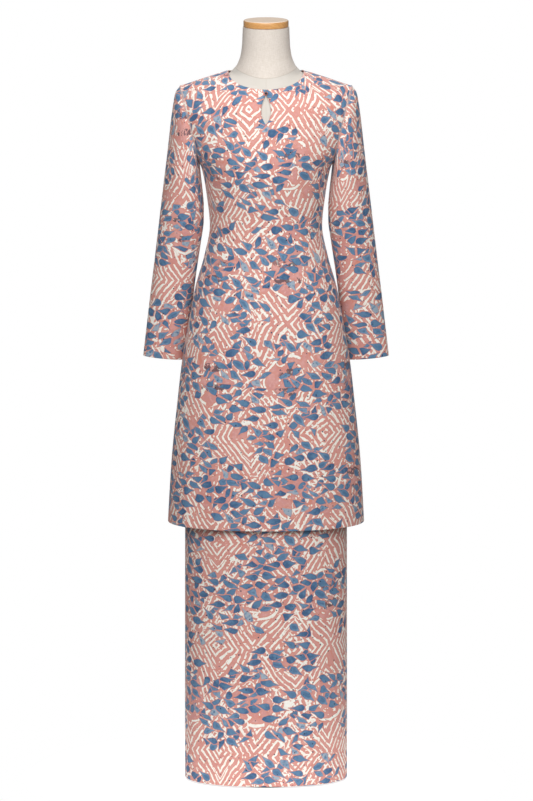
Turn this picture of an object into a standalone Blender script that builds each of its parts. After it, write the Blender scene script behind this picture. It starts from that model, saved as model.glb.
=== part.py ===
"""A baju kurung, a knee-length tunic over a straight skirt, on a limbless dress form.

Metres, +Z up, with the garment's front towards -Y and its left side towards +X. The origin is the
centre of the stand's underside. Every cloth piece is a wall of even thickness on rings whose
half-width, depths and roundness come from a table with a row for each height.
"""

import math
from collections import namedtuple

import bmesh
import bpy
from mathutils import Vector

# Cloth and seams.
CLOTH = 0.0013
BAND_CLOTH = 0.0026
SEAM_GAP = 0.0003
ARMHOLE_GAP = 0.0004

# Tunic heights.
TUNIC_HEM_Z = 0.547
UNDERARM_Z = 1.301
SHOULDER_TIP_Z = 1.460
NECK_POINT_Z = 1.492
FRONT_NECK_Z = 1.464
BACK_NECK_Z = 1.484

# Tunic widths.
UNDERARM_X = 0.139
SHOULDER_TIP_X = 0.178
NECK_POINT_X = 0.078
FRONT_ARMHOLE_SCOOP = 0.0025
BACK_ARMHOLE_SCOOP = 0.0
WIDEST_ARMHOLE_RIM = 1.7

# The keyhole below the front neckline.
KEYHOLE_BOTTOM_Z = 1.395
KEYHOLE_TOP_Z = 1.4545
KEYHOLE_HALF_WIDTH = 0.010
SLIT_HALF_GAP = 0.0003

# The closure at the top of the keyhole.
BUTTON_RADIUS = 0.0022
LOOP_RADIUS = 0.0034
LOOP_CORD_RADIUS = 0.0006

# Skirt.
SKIRT_HEM_Z = 0.0045
SKIRT_TOP_Z = 1.130
WAISTBAND_TOP_Z = 1.165

# Dress form and stand.
FORM_BOTTOM_Z = 0.752
FORM_TOP_Z = 1.5835
NECK_CENTRE_Y = 0.004
CAP_RADIUS = 0.0467
CAP_TOP_Z = 1.598
CAP_EDGE = 0.0035
POLE_RADIUS = 0.0125
POLE_FLANGE_RADIUS = 0.034
FLANGE_THICKNESS = 0.006
BASE_RADIUS = 0.105
BASE_THICKNESS = 0.014
BASE_EDGE = 0.003

# Facets: cloth columns in half a panel, rows above the underarm, sides of turned pieces.
HALF_COLUMNS = 8
KEYHOLE_ROWS = (6, 5, 1)
UPPER_ROWS = sum(KEYHOLE_ROWS)
NECK_COLUMNS = 4
NECK_SPREAD = 0.8
FORM_SIDES = 28
TURNED_SIDES = 32

Section = namedtuple("Section", "z half_width front back side_y power")

TUNIC = [
    Section(TUNIC_HEM_Z, 0.2045, 0.129, 0.134, 0.000, 2.15),
    Section(0.616, 0.2008, 0.128, 0.133, 0.000, 2.15),
    Section(0.692, 0.1955, 0.127, 0.132, 0.000, 2.15),
    Section(0.793, 0.1851, 0.124, 0.130, 0.000, 2.15),
    Section(0.884, 0.1747, 0.121, 0.128, 0.000, 2.15),
    Section(0.955, 0.1630, 0.118, 0.124, 0.000, 2.15),
    Section(1.044, 0.1456, 0.109, 0.112, 0.002, 2.15),
    Section(1.104, 0.1285, 0.103, 0.100, 0.004, 2.15),
    Section(1.169, 0.1166, 0.101, 0.092, 0.005, 2.15),
    Section(1.234, 0.1232, 0.110, 0.095, 0.006, 2.20),
    Section(1.291, 0.1340, 0.119, 0.103, 0.007, 2.20),
    Section(1.301, 0.1390, 0.119, 0.104, 0.007, 2.20),
    Section(1.313, 0.1465, 0.119, 0.105, 0.008, 2.20),
    Section(1.333, 0.1580, 0.117, 0.106, 0.008, 2.20),
    Section(1.382, 0.1775, 0.110, 0.106, 0.009, 2.10),
    Section(1.422, 0.1900, 0.101, 0.102, 0.011, 1.90),
    Section(1.452, 0.1870, 0.089, 0.095, 0.013, 1.60),
    Section(1.456, 0.1835, 0.086, 0.093, 0.013, 1.55),
    Section(1.460, 0.1780, 0.083, 0.091, 0.013, 1.50),
    Section(1.476, 0.1280, 0.072, 0.082, 0.014, 1.50),
    Section(1.484, 0.1029, 0.064, 0.076, 0.015, 1.50),
    Section(1.492, 0.0780, 0.055, 0.069, 0.015, 1.50),
]

SKIRT = [
    Section(SKIRT_HEM_Z, 0.1697, 0.118, 0.120, 0.000, 2.2),
    Section(0.400, 0.1690, 0.118, 0.120, 0.000, 2.2),
    Section(0.600, 0.1685, 0.117, 0.120, 0.000, 2.2),
    Section(0.800, 0.1655, 0.113, 0.118, 0.000, 2.2),
    Section(0.879, 0.1615, 0.109, 0.115, 0.000, 2.2),
    Section(0.950, 0.1525, 0.105, 0.111, 0.001, 2.2),
    Section(1.039, 0.1370, 0.099, 0.102, 0.002, 2.2),
    Section(1.100, 0.1205, 0.095, 0.092, 0.004, 2.2),
    Section(SKIRT_TOP_Z, 0.1140, 0.093, 0.087, 0.005, 2.2),
]

WAISTBAND = [
    Section(SKIRT_TOP_Z + SEAM_GAP, 0.1140, 0.0930, 0.0870, 0.005, 2.2),
    Section(WAISTBAND_TOP_Z, 0.1125, 0.0930, 0.0860, 0.005, 2.2),
]

FORM = [
    Section(FORM_BOTTOM_Z, 0.1380, 0.088, 0.096, 0.004, 2.2),
    Section(0.757, 0.1450, 0.095, 0.103, 0.004, 2.2),
    Section(0.768, 0.1490, 0.099, 0.107, 0.004, 2.2),
    Section(0.800, 0.1520, 0.101, 0.110, 0.004, 2.2),
    Section(0.870, 0.1510, 0.100, 0.108, 0.003, 2.2),
    Section(0.950, 0.1430, 0.096, 0.103, 0.003, 2.2),
    Section(1.039, 0.1270, 0.091, 0.094, 0.003, 2.2),
    Section(1.100, 0.1110, 0.086, 0.084, 0.004, 2.2),
    Section(1.150, 0.1035, 0.084, 0.079, 0.005, 2.2),
    Section(1.200, 0.1060, 0.089, 0.081, 0.006, 2.2),
    Section(1.250, 0.1145, 0.103, 0.088, 0.006, 2.2),
    Section(1.301, 0.1280, 0.1130, 0.0965, 0.007, 2.2),
    Section(1.333, 0.1390, 0.1115, 0.0995, 0.008, 2.2),
    Section(1.382, 0.1510, 0.1050, 0.1005, 0.009, 2.2),
    Section(1.422, 0.1600, 0.0965, 0.0970, 0.011, 2.0),
    Section(1.447, 0.1645, 0.0860, 0.0903, 0.013, 1.8),
    Section(1.456, 0.1620, 0.0805, 0.0870, 0.013, 1.6),
    Section(1.462, 0.1560, 0.0757, 0.0842, 0.013, 1.5),
    Section(1.468, 0.1365, 0.0720, 0.0810, 0.014, 1.5),
    Section(1.476, 0.1110, 0.0660, 0.0760, 0.014, 1.5),
    Section(1.486, 0.0770, 0.0580, 0.0690, 0.012, 1.6),
    Section(1.495, 0.0680, 0.0540, 0.0640, 0.009, 1.8),
    Section(1.502, 0.0614, 0.0515, 0.0610, 0.007, 2.0),
    Section(1.511, 0.0572, 0.0493, 0.0585, 0.005, 2.0),
    Section(1.523, 0.0530, 0.0470, 0.0560, 0.004, 2.0),
    Section(1.545, 0.0498, 0.0452, 0.0540, 0.004, 2.0),
    Section(FORM_TOP_Z, 0.0480, 0.0440, 0.0520, 0.004, 2.0),
]

TUNIC_ROWS_Z = [TUNIC_HEM_Z, 0.625, 0.705, 0.795, 0.885, 0.965, 1.045, 1.115, 1.175, 1.24, UNDERARM_Z]
SKIRT_ROWS_Z = [SKIRT_HEM_Z, 0.30, 0.60, 0.80, 0.88, 0.95, 1.04, 1.09, SKIRT_TOP_Z]

# A ring of the sleeve: its outer and inner points as seen from the front, its half depth from
# front to back and its middle's y. The first ring follows the armhole.
SleeveRing = namedtuple("SleeveRing", "outer_x outer_z inner_x inner_z half_depth middle_y")

SLEEVE = [
    SleeveRing(0.1780, 1.460, 0.1390, 1.301, 0.0520, 0.004),
    SleeveRing(0.1880, 1.446, 0.1374, 1.293, 0.0545, 0.005),
    SleeveRing(0.1922, 1.424, 0.1360, 1.282, 0.0565, 0.006),
    SleeveRing(0.1966, 1.392, 0.1345, 1.268, 0.0580, 0.008),
    SleeveRing(0.2010, 1.352, 0.1325, 1.251, 0.0590, 0.010),
    SleeveRing(0.2060, 1.308, 0.1305, 1.231, 0.0585, 0.012),
    SleeveRing(0.2115, 1.263, 0.1290, 1.209, 0.0560, 0.015),
    SleeveRing(0.2180, 1.209, 0.1290, 1.178, 0.0520, 0.019),
    SleeveRing(0.2255, 1.145, 0.1352, 1.130, 0.0465, 0.025),
    SleeveRing(0.2340, 1.074, 0.1450, 1.063, 0.0400, 0.033),
    SleeveRing(0.2430, 1.000, 0.1540, 0.990, 0.0335, 0.041),
    SleeveRing(0.2505, 0.935, 0.1635, 0.926, 0.0280, 0.046),
    SleeveRing(0.2560, 0.888, 0.1705, 0.880, 0.0235, 0.049),
]
ARMHOLE_RELEASE = [1.0, 0.75, 0.45, 0.2, 0.05]


def slopes(heights, values):
    """A slope for each row that keeps the curve between its neighbours."""
    rises = []
    for i in range(len(heights) - 1):
        rises.append((values[i + 1] - values[i]) / (heights[i + 1] - heights[i]))
    inner = []
    for before, after in zip(rises, rises[1:]):
        inner.append(2 * before * after / (before + after) if before * after > 0 else 0.0)
    return [rises[0], *inner, rises[-1]]


def section_at(table, z):
    """The table's section at height z, on a smooth curve through its rows."""
    heights = [row.z for row in table]
    z = min(max(z, heights[0]), heights[-1])
    low = max(i for i in range(len(table) - 1) if heights[i] <= z)
    span = heights[low + 1] - heights[low]
    t = (z - heights[low]) / span
    found = []
    for column in range(1, len(Section._fields)):
        values = [row[column] for row in table]
        slope = slopes(heights, values)
        found.append(
            (1 + 2 * t) * (1 - t) ** 2 * values[low]
            + t * (1 - t) ** 2 * span * slope[low]
            + t * t * (3 - 2 * t) * values[low + 1]
            + t * t * (t - 1) * span * slope[low + 1]
        )
    return Section(z, *found)


def depth_to(section, side):
    """From a section's side line to its middle line, at the front (side -1) or the back (1)."""
    return section.side_y + section.front if side < 0 else section.back - section.side_y


def surface_point(table, x, z, side):
    """The point at x and z on the front or back of the rings."""
    section = section_at(table, z)
    across = min(abs(x) / section.half_width, 1.0)
    reach = (1 - across**section.power) ** (1 / section.power)
    return Vector((x, section.side_y + side * depth_to(section, side) * reach, z))


def surface_normal(table, point, side):
    """The outward direction of the rings at a point, from how fast their level rises there."""

    def level(x, y, z):
        section = section_at(table, z)
        across = abs(x) / section.half_width
        along = abs(y - section.side_y) / depth_to(section, side)
        return across**section.power + along**section.power

    step = 1e-5
    rise = []
    for axis in range(3):
        ahead = list(point)
        behind = list(point)
        ahead[axis] += step
        behind[axis] -= step
        rise.append(level(*ahead) - level(*behind))
    if abs(point.x) < step:
        rise[0] = 0.0
    return Vector(rise).normalized()


def ring_x(section, turn):
    """The x of a ring at a turn of 0 at the middle to 1 at the side line."""
    return section.half_width * math.sin(turn * math.pi / 2) ** (2 / section.power)


def mix(a, b, t):
    return a + (b - a) * t


def ease(t):
    t = min(max(t, 0.0), 1.0)
    return t * t * (3 - 2 * t)


def paint(name, colour, roughness, metallic=0.0):
    material = bpy.data.materials.new(name)
    material.use_nodes = True
    shader = material.node_tree.nodes["Principled BSDF"]
    shader.inputs["Base Color"].default_value = (*colour, 1.0)
    shader.inputs["Roughness"].default_value = roughness
    shader.inputs["Metallic"].default_value = metallic
    return material


def place(name, points, faces, material):
    """A closed object with its faces turned outwards."""
    mesh = bpy.data.meshes.new(name)
    mesh.from_pydata([tuple(p) for p in points], [], faces)
    shell = bmesh.new()
    shell.from_mesh(mesh)
    bmesh.ops.recalc_face_normals(shell, faces=shell.faces)
    if shell.calc_volume(signed=True) < 0:
        bmesh.ops.reverse_faces(shell, faces=shell.faces)
    shell.to_mesh(mesh)
    shell.free()
    mesh.shade_smooth()
    mesh.set_sharp_from_angle(angle=math.radians(40))
    mesh.materials.append(material)
    thing = bpy.data.objects.new(name, mesh)
    bpy.context.scene.collection.objects.link(thing)
    thing.parent = bpy.data.objects["garment_on_form"]
    return thing


def wall(name, outside, inside, quads, material):
    """A cloth wall from its outer and inner points, closed by a rim along every free edge."""
    count = len(outside)
    uses = {}
    for quad in quads:
        for edge in zip(quad, quad[1:] + quad[:1]):
            uses.setdefault(frozenset(edge), []).append(edge)
    faces = [list(quad) for quad in quads]
    faces += [[i + count for i in reversed(quad)] for quad in quads]
    for found in uses.values():
        if len(found) == 1:
            start, end = found[0]
            faces.append([end, start, start + count, end + count])
    return place(name, list(outside) + list(inside), faces, material)


def join_sheets(sheets):
    """One list of points and quads from grids of (outer, inner) points, shared where they meet."""
    outside = []
    inside = []
    quads = []
    index = {}

    def number(pair):
        key = tuple(round(c, 7) for c in pair[0])
        if key not in index:
            index[key] = len(outside)
            outside.append(pair[0])
            inside.append(pair[1])
        return index[key]

    for grid in sheets:
        for lower, upper in zip(grid, grid[1:]):
            for i in range(len(lower) - 1):
                corners = [lower[i], lower[i + 1], upper[i + 1], upper[i]]
                quads.append([number(pair) for pair in corners])
    return outside, inside, quads


def cloth_pair(table, x, z, side, seam=False, thickness=CLOTH):
    """A point of a cloth piece and the one behind it; at a seam it keeps half the gap."""
    point = surface_point(table, x, z, side)
    normal = surface_normal(table, point, side)
    back = point - normal * thickness
    shift = Vector((0, side * SEAM_GAP / 2, 0)) if seam else Vector()
    return point + shift, back + shift


def half_rings(table, heights, side, mirror, thickness=CLOTH):
    """Rows of one half of a front or back, from its middle line to its side seam."""
    grid = []
    for z in heights:
        section = section_at(table, z)
        row = []
        for i in range(HALF_COLUMNS + 1):
            x = mirror * ring_x(section, i / HALF_COLUMNS)
            row.append(cloth_pair(table, x, z, side, i == HALF_COLUMNS, thickness))
        grid.append(row)
    return grid


def keyhole_half_width(z):
    """Half the width of the keyhole at height z, a drop that is widest below its middle."""
    along = (z - KEYHOLE_BOTTOM_Z) / (KEYHOLE_TOP_Z - KEYHOLE_BOTTOM_Z)
    if along <= 0:
        return 0.0
    if along >= 1:
        return SLIT_HALF_GAP
    return max(SLIT_HALF_GAP, KEYHOLE_HALF_WIDTH * math.sin(math.pi * along**0.9) ** 0.85)


def armhole_x(z, scoop):
    """The armhole leans outwards from the underarm to the shoulder tip, scooped in between."""
    along = (z - UNDERARM_Z) / (SHOULDER_TIP_Z - UNDERARM_Z)
    lean = mix(UNDERARM_X, SHOULDER_TIP_X, along)
    return lean - scoop * math.sin(math.pi * min(max(along, 0.0), 1.0))


def top_edge(column, neck_z):
    """The neckline up to the neck point, then the shoulder line out to the tip."""
    if column <= NECK_COLUMNS:
        turn = (column / NECK_COLUMNS) ** NECK_SPREAD * math.pi / 2
        return NECK_POINT_X * math.sin(turn), mix(NECK_POINT_Z, neck_z, math.cos(turn))
    along = (column - NECK_COLUMNS) / (HALF_COLUMNS - NECK_COLUMNS)
    return (
        mix(NECK_POINT_X, SHOULDER_TIP_X, along),
        mix(NECK_POINT_Z, SHOULDER_TIP_Z, along),
    )


def middle_heights(neck_z, keyhole):
    """How far up the middle line each row above the underarm starts, from 0 to 1."""
    if not keyhole:
        return [j / UPPER_ROWS for j in range(UPPER_ROWS + 1)]
    stops = [UNDERARM_Z, KEYHOLE_BOTTOM_Z, KEYHOLE_TOP_Z, neck_z]
    heights = [UNDERARM_Z]
    for count, low, high in zip(KEYHOLE_ROWS, stops, stops[1:]):
        heights += [mix(low, high, (j + 1) / count) for j in range(count)]
    return [(z - UNDERARM_Z) / (neck_z - UNDERARM_Z) for z in heights]


def upper_half(side, mirror, neck_z, keyhole, scoop):
    """Rows above the underarm, between the middle line, armhole, neckline and shoulder line."""
    base = section_at(TUNIC, UNDERARM_Z)
    middle = middle_heights(neck_z, keyhole)
    grid = []
    for j in range(UPPER_ROWS + 1):
        armhole_up = (1 - math.cos(math.pi * j / UPPER_ROWS)) / 2
        row = []
        for i in range(HALF_COLUMNS + 1):
            u = i / HALF_COLUMNS
            v = mix(middle[j], armhole_up, ease(u / 0.45))
            top_x, top_z = top_edge(i, neck_z)
            middle_z = mix(UNDERARM_Z, neck_z, v)
            arm_z = mix(UNDERARM_Z, SHOULDER_TIP_Z, v)
            bottom_x = ring_x(base, u)
            x = mix(bottom_x, top_x, v) + u * armhole_x(arm_z, scoop)
            x -= u * mix(UNDERARM_X, SHOULDER_TIP_X, v)
            z = mix(UNDERARM_Z, top_z, v) + mix(middle_z, arm_z, u)
            z -= mix(UNDERARM_Z, mix(neck_z, SHOULDER_TIP_Z, u), v)
            on_seam = (j == UPPER_ROWS and i >= NECK_COLUMNS) or (j == 0 and i == HALF_COLUMNS)
            if i == 0 and keyhole:
                x = keyhole_half_width(z)
            if on_seam:
                x = min(x, section_at(TUNIC, z).half_width)
            row.append(cloth_pair(TUNIC, mirror * x, z, side, on_seam))
        grid.append(row)
    return grid


def trim_armhole(grid, side, mirror):
    """Turns the wall's rim along the armhole into the armhole's plane, so that it meets the
    sleeve's rim squarely."""
    lean = armhole_lean()
    outwards = Vector((mirror * math.cos(lean), 0, -math.sin(lean)))
    edge = [row[-1][0] for row in grid]
    for j, row in enumerate(grid):
        along = edge[min(j + 1, UPPER_ROWS)] - edge[max(j - 1, 0)]
        if j in (0, UPPER_ROWS):
            along = Vector((0, side if j == 0 else -side, 0))
        inwards = outwards.cross(along).normalized() * -side * mirror
        outer, inner = row[-1]
        square = (inner - outer).normalized().dot(inwards)
        rim = CLOTH * min(WIDEST_ARMHOLE_RIM, 1 / max(square, 0.1))
        row[-1] = (outer, outer + inwards * rim)


def armhole_lean():
    return math.atan2(SHOULDER_TIP_X - UNDERARM_X, SHOULDER_TIP_Z - UNDERARM_Z)


def tunic_panel(name, side, neck_z, keyhole, scoop, material):
    """The front or back, cut in one piece. Returns the pairs along its left armhole."""
    sheets = []
    for mirror in (-1, 1):
        upper = upper_half(side, mirror, neck_z, keyhole, scoop)
        trim_armhole(upper, side, mirror)
        sheets.append(upper)
        sheets.append(half_rings(TUNIC, TUNIC_ROWS_Z, side, mirror))
    wall(name, *join_sheets(sheets), material)
    return [row[-1] for row in upper]


def skirt_panel(name, side, material):
    sheets = [half_rings(SKIRT, SKIRT_ROWS_Z, side, mirror) for mirror in (-1, 1)]
    wall(name, *join_sheets(sheets), material)


def armhole_ring(front_edge, back_edge):
    """The left armhole's pairs in order: from the shoulder tip down the front and up the back."""

    def halfway(first, second):
        return tuple((a + b) / 2 for a, b in zip(first, second))

    tip = halfway(front_edge[-1], back_edge[-1])
    underarm = halfway(front_edge[0], back_edge[0])
    return [tip, *reversed(front_edge[1:-1]), underarm, *back_edge[1:-1]]


def sleeve_points(armhole):
    """The left sleeve's rings: each an oval between its outer and inner points. The first rings
    keep part of the armhole's own shape, and all of it at the seam."""
    lean = armhole_lean()
    outwards = Vector((math.cos(lean), 0, -math.sin(lean))) * ARMHOLE_GAP
    count = len(armhole)
    first = SLEEVE[0]
    centre = Vector((first.outer_x + first.inner_x, 0, first.outer_z + first.inner_z)) / 2
    centre.y = first.middle_y
    half = Vector((first.outer_x - first.inner_x, 0, first.outer_z - first.inner_z)) / 2
    turns = []
    for k, (point, _) in enumerate(armhole):
        offset = point - centre
        turn = math.atan2(-offset.y / first.half_depth, offset.dot(half) / half.length_squared)
        turns.append(turn % (2 * math.pi) if k else 0.0)

    def oval(ring, turn):
        middle = Vector((ring.outer_x + ring.inner_x, 0, ring.outer_z + ring.inner_z)) / 2
        middle.y = ring.middle_y
        reach = Vector((ring.outer_x - ring.inner_x, 0, ring.outer_z - ring.inner_z)) / 2
        return middle + reach * math.cos(turn) - Vector((0, ring.half_depth * math.sin(turn), 0))

    own = [point - oval(first, turn) for (point, _), turn in zip(armhole, turns)]
    rings = []
    for i, ring in enumerate(SLEEVE):
        keep = ARMHOLE_RELEASE[i] if i < len(ARMHOLE_RELEASE) else 0.0
        even = ease(i / 6)
        points = []
        for k in range(count):
            turn = mix(turns[k], 2 * math.pi * k / count, even)
            points.append(oval(ring, turn) + own[k] * keep)
        rings.append(points)
    rings[0] = [point + outwards for point, _ in armhole]
    seam_inside = [inner + outwards for _, inner in armhole]
    return rings, seam_inside


def tube_inside(rings, thickness):
    """The points one wall inside each point of a tube of rings."""
    count = len(rings[0])
    inside = []
    for i, ring in enumerate(rings):
        above = rings[max(i - 1, 0)]
        below = rings[min(i + 1, len(rings) - 1)]
        row = []
        for k in range(count):
            around = ring[(k + 1) % count] - ring[k - 1]
            along = below[k] - above[k]
            row.append(ring[k] - around.cross(along).normalized() * thickness)
        inside.append(row)
    return inside


def tube_wall(name, rings, inside, mirror, material):
    """A wall round a tube of rings; a mirrored one goes round the other way."""
    count = len(rings[0])

    def turned(rows):
        points = []
        for row in rows:
            points += [Vector((mirror * p.x, p.y, p.z)) for p in row[::mirror]]
        return points

    quads = []
    for i in range(len(rings) - 1):
        for k in range(count):
            after = (k + 1) % count
            quads.append([i * count + k, i * count + after, (i + 1) * count + after, (i + 1) * count + k])
    wall(name, turned(rings), turned(inside), quads, material)


def full_ring(table, z, sides, shrink=0.0):
    """A closed ring of points at height z, taken in by shrink."""
    section = section_at(table, z)
    points = []
    for k in range(sides):
        turn = 2 * math.pi * k / sides
        sine = math.sin(turn)
        cosine = math.cos(turn)
        side = -1 if cosine >= 0 else 1
        x = (section.half_width - shrink) * math.copysign(abs(sine) ** (2 / section.power), sine)
        reach = (depth_to(section, side) - shrink) * abs(cosine) ** (2 / section.power)
        points.append(Vector((x, section.side_y + side * reach, z)))
    return points


def solid_of_rings(name, rings, material):
    """A solid through closed rings, shut flat at both ends."""
    count = len(rings[0])
    faces = []
    for i in range(len(rings) - 1):
        for k in range(count):
            after = (k + 1) % count
            faces.append([i * count + k, i * count + after, (i + 1) * count + after, (i + 1) * count + k])
    faces.append(list(range(count)))
    faces.append([(len(rings) - 1) * count + k for k in range(count)])
    return place(name, [p for ring in rings for p in ring], faces, material)


def turned_solid(name, profile, centre_y, material):
    """A solid of revolution about the upright line at centre_y, from (radius, z) points."""
    rings = []
    for radius, z in profile:
        ring = []
        for k in range(TURNED_SIDES):
            turn = 2 * math.pi * k / TURNED_SIDES
            ring.append(Vector((radius * math.cos(turn), centre_y + radius * math.sin(turn), z)))
        rings.append(ring)
    return solid_of_rings(name, rings, material)


def rounded_disc(radius, bottom, top, edge):
    """The profile of a disc whose rims are rounded in three steps."""
    profile = []
    for step in range(4):
        turn = step / 3 * math.pi / 2
        profile.append((radius - edge + edge * math.sin(turn), bottom + edge - edge * math.cos(turn)))
    for step in range(4):
        turn = step / 3 * math.pi / 2
        profile.append((radius - edge + edge * math.cos(turn), top - edge + edge * math.sin(turn)))
    return profile


def waistband(material):
    """The skirt's elastic band, a plain ring."""
    rings = [full_ring(WAISTBAND, row.z, 4 * HALF_COLUMNS) for row in WAISTBAND]
    inner = [full_ring(WAISTBAND, row.z, 4 * HALF_COLUMNS, BAND_CLOTH) for row in WAISTBAND]
    tube_wall("skirt_waistband", rings, inner, 1, material)


def closure(button_material, loop_material):
    """A bead and its thread loop, just in front of the top of the keyhole."""
    z = KEYHOLE_TOP_Z + 0.0015
    front = surface_point(TUNIC, 0.0, z, -1)
    out = surface_normal(TUNIC, front, -1)
    across = Vector((1, 0, 0))
    up = out.cross(across)
    bead_centre = front + out * (BUTTON_RADIUS + SEAM_GAP)
    rings = []
    for step in range(1, 8):
        turn = step / 8 * math.pi
        ring = []
        for k in range(12):
            around = 2 * math.pi * k / 12
            reach = across * math.cos(around) + out * math.sin(around)
            ring.append(
                bead_centre
                + reach * BUTTON_RADIUS * math.sin(turn)
                + up * BUTTON_RADIUS * math.cos(turn)
            )
        rings.append(ring)
    solid_of_rings("neck_button", rings, button_material)

    loop_centre = front + out * (LOOP_CORD_RADIUS * 1.5 + SEAM_GAP)
    sides = 6
    turns = 20
    points = []
    faces = []
    for i in range(turns):
        turn = 2 * math.pi * i / turns
        reach = across * math.cos(turn) + up * math.sin(turn)
        for k in range(sides):
            around = 2 * math.pi * k / sides
            points.append(
                loop_centre
                + reach * (LOOP_RADIUS + LOOP_CORD_RADIUS * math.cos(around))
                + out * LOOP_CORD_RADIUS * math.sin(around)
            )
            after = (i + 1) % turns
            beside = (k + 1) % sides
            faces.append([i * sides + k, after * sides + k, after * sides + beside, i * sides + beside])
    place("neck_loop", points, faces, loop_material)


def dress_form(linen, wood, metal):
    rings = [full_ring(FORM, row.z, FORM_SIDES) for row in FORM]
    solid_of_rings("form_torso", rings, linen)
    cap = rounded_disc(CAP_RADIUS, FORM_TOP_Z + SEAM_GAP, CAP_TOP_Z, CAP_EDGE)
    turned_solid("form_neck_cap", cap, NECK_CENTRE_Y, wood)
    pole_low = BASE_THICKNESS + SEAM_GAP
    pole_high = FORM_BOTTOM_Z - SEAM_GAP
    pole = [
        (POLE_FLANGE_RADIUS, pole_low),
        (POLE_FLANGE_RADIUS, pole_low + FLANGE_THICKNESS),
        (POLE_RADIUS, pole_low + 2 * FLANGE_THICKNESS),
        (POLE_RADIUS, pole_high - 2 * FLANGE_THICKNESS),
        (POLE_FLANGE_RADIUS, pole_high - FLANGE_THICKNESS),
        (POLE_FLANGE_RADIUS, pole_high),
    ]
    turned_solid("form_pole", pole, 0.0, metal)
    base = rounded_disc(BASE_RADIUS, 0.0, BASE_THICKNESS, BASE_EDGE)
    turned_solid("form_base", base, 0.0, metal)


def build():
    for thing in list(bpy.data.objects):
        bpy.data.objects.remove(thing, do_unlink=True)
    root = bpy.data.objects.new("garment_on_form", None)
    bpy.context.scene.collection.objects.link(root)

    batik = paint("batik_cloth", (0.58, 0.30, 0.28), 0.75)
    elastic = paint("waist_elastic", (0.55, 0.30, 0.28), 0.85)
    bead = paint("closure_bead", (0.06, 0.06, 0.09), 0.4)
    thread = paint("closure_thread", (0.78, 0.38, 0.28), 0.7)
    linen = paint("form_linen", (0.80, 0.71, 0.61), 0.9)
    wood = paint("cap_wood", (0.62, 0.40, 0.20), 0.35)
    metal = paint("stand_metal", (0.12, 0.12, 0.13), 0.4, 0.9)

    front_edge = tunic_panel("baju_front", -1, FRONT_NECK_Z, True, FRONT_ARMHOLE_SCOOP, batik)
    back_edge = tunic_panel("baju_back", 1, BACK_NECK_Z, False, BACK_ARMHOLE_SCOOP, batik)
    rings, seam_inside = sleeve_points(armhole_ring(front_edge, back_edge))
    inside = tube_inside(rings, CLOTH)
    inside[0] = seam_inside
    tube_wall("sleeve_left", rings, inside, 1, batik)
    tube_wall("sleeve_right", rings, inside, -1, batik)
    closure(bead, thread)
    skirt_panel("skirt_front", -1, batik)
    skirt_panel("skirt_back", 1, batik)
    waistband(elastic)
    dress_form(linen, wood, metal)


build()
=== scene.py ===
"""The looks of a baju kurung on a dress form: fine cloth shells, their batik print, and the stand.

Metres, +Z up, the garment's front towards -Y and its left side towards +X, as in the frame. Each
cloth piece is a thin shell on the same rings as its solid, with soft creases, and it is also laid
out flat, because the print and the creases are placed on the flat cloth.
"""

import math
from collections import namedtuple

import bpy
import numpy as np
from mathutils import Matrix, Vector


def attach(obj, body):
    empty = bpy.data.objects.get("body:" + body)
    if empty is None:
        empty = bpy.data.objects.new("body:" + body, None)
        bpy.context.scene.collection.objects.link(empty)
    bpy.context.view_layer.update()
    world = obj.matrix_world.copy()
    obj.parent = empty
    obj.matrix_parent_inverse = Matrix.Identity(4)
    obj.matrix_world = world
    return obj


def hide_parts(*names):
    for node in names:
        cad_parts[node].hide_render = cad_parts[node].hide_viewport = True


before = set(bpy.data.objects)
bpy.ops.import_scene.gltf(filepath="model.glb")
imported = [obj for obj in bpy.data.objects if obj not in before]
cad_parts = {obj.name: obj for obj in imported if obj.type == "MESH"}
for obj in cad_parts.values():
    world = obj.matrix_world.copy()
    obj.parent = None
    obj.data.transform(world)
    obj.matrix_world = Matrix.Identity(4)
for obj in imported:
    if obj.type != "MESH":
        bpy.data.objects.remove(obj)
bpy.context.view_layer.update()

# Cloth and seams.
CLOTH = 0.0013
HEM_EXTRA = 0.0008
HEM_DEPTH = 0.020
BAND_CLOTH = 0.0026
SEAM_GAP = 0.0003
ARMHOLE_GAP = 0.0004
SEAM_DIP = 0.0006
SEAM_DIP_WIDTH = 0.0022
EDGE_PINCH = 0.22
SHOULDER_CLOSING = 0.045
CREASE_TO_SEAM = 0.022
CREASE_TO_TOP = 0.03
CREASE_TO_WAIST = 0.2
CREASE_TO_ARMHOLE = 0.05

# Tunic.
TUNIC_HEM_Z = 0.547
UNDERARM_Z = 1.301
SHOULDER_TIP_Z = 1.460
NECK_POINT_Z = 1.492
FRONT_NECK_Z = 1.464
BACK_NECK_Z = 1.484
UNDERARM_X = 0.139
SHOULDER_TIP_X = 0.178
NECK_POINT_X = 0.078
FRONT_ARMHOLE_SCOOP = 0.0025
BACK_ARMHOLE_SCOOP = 0.0
WIDEST_ARMHOLE_RIM = 1.7
NECK_SHARE = 0.5
NECK_SPREAD = 0.8

# Keyhole and closure.
KEYHOLE_BOTTOM_Z = 1.395
KEYHOLE_TOP_Z = 1.4545
KEYHOLE_HALF_WIDTH = 0.010
KEYHOLE_REACH = 0.125
SLIT_HALF_GAP = 0.0003
BUTTON_RADIUS = 0.0022
LOOP_RADIUS = 0.0034
LOOP_LENGTH = 0.0214
LOOP_CORD_RADIUS = 0.0006
LOOP_CORD_ROUND = 0.0038

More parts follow.
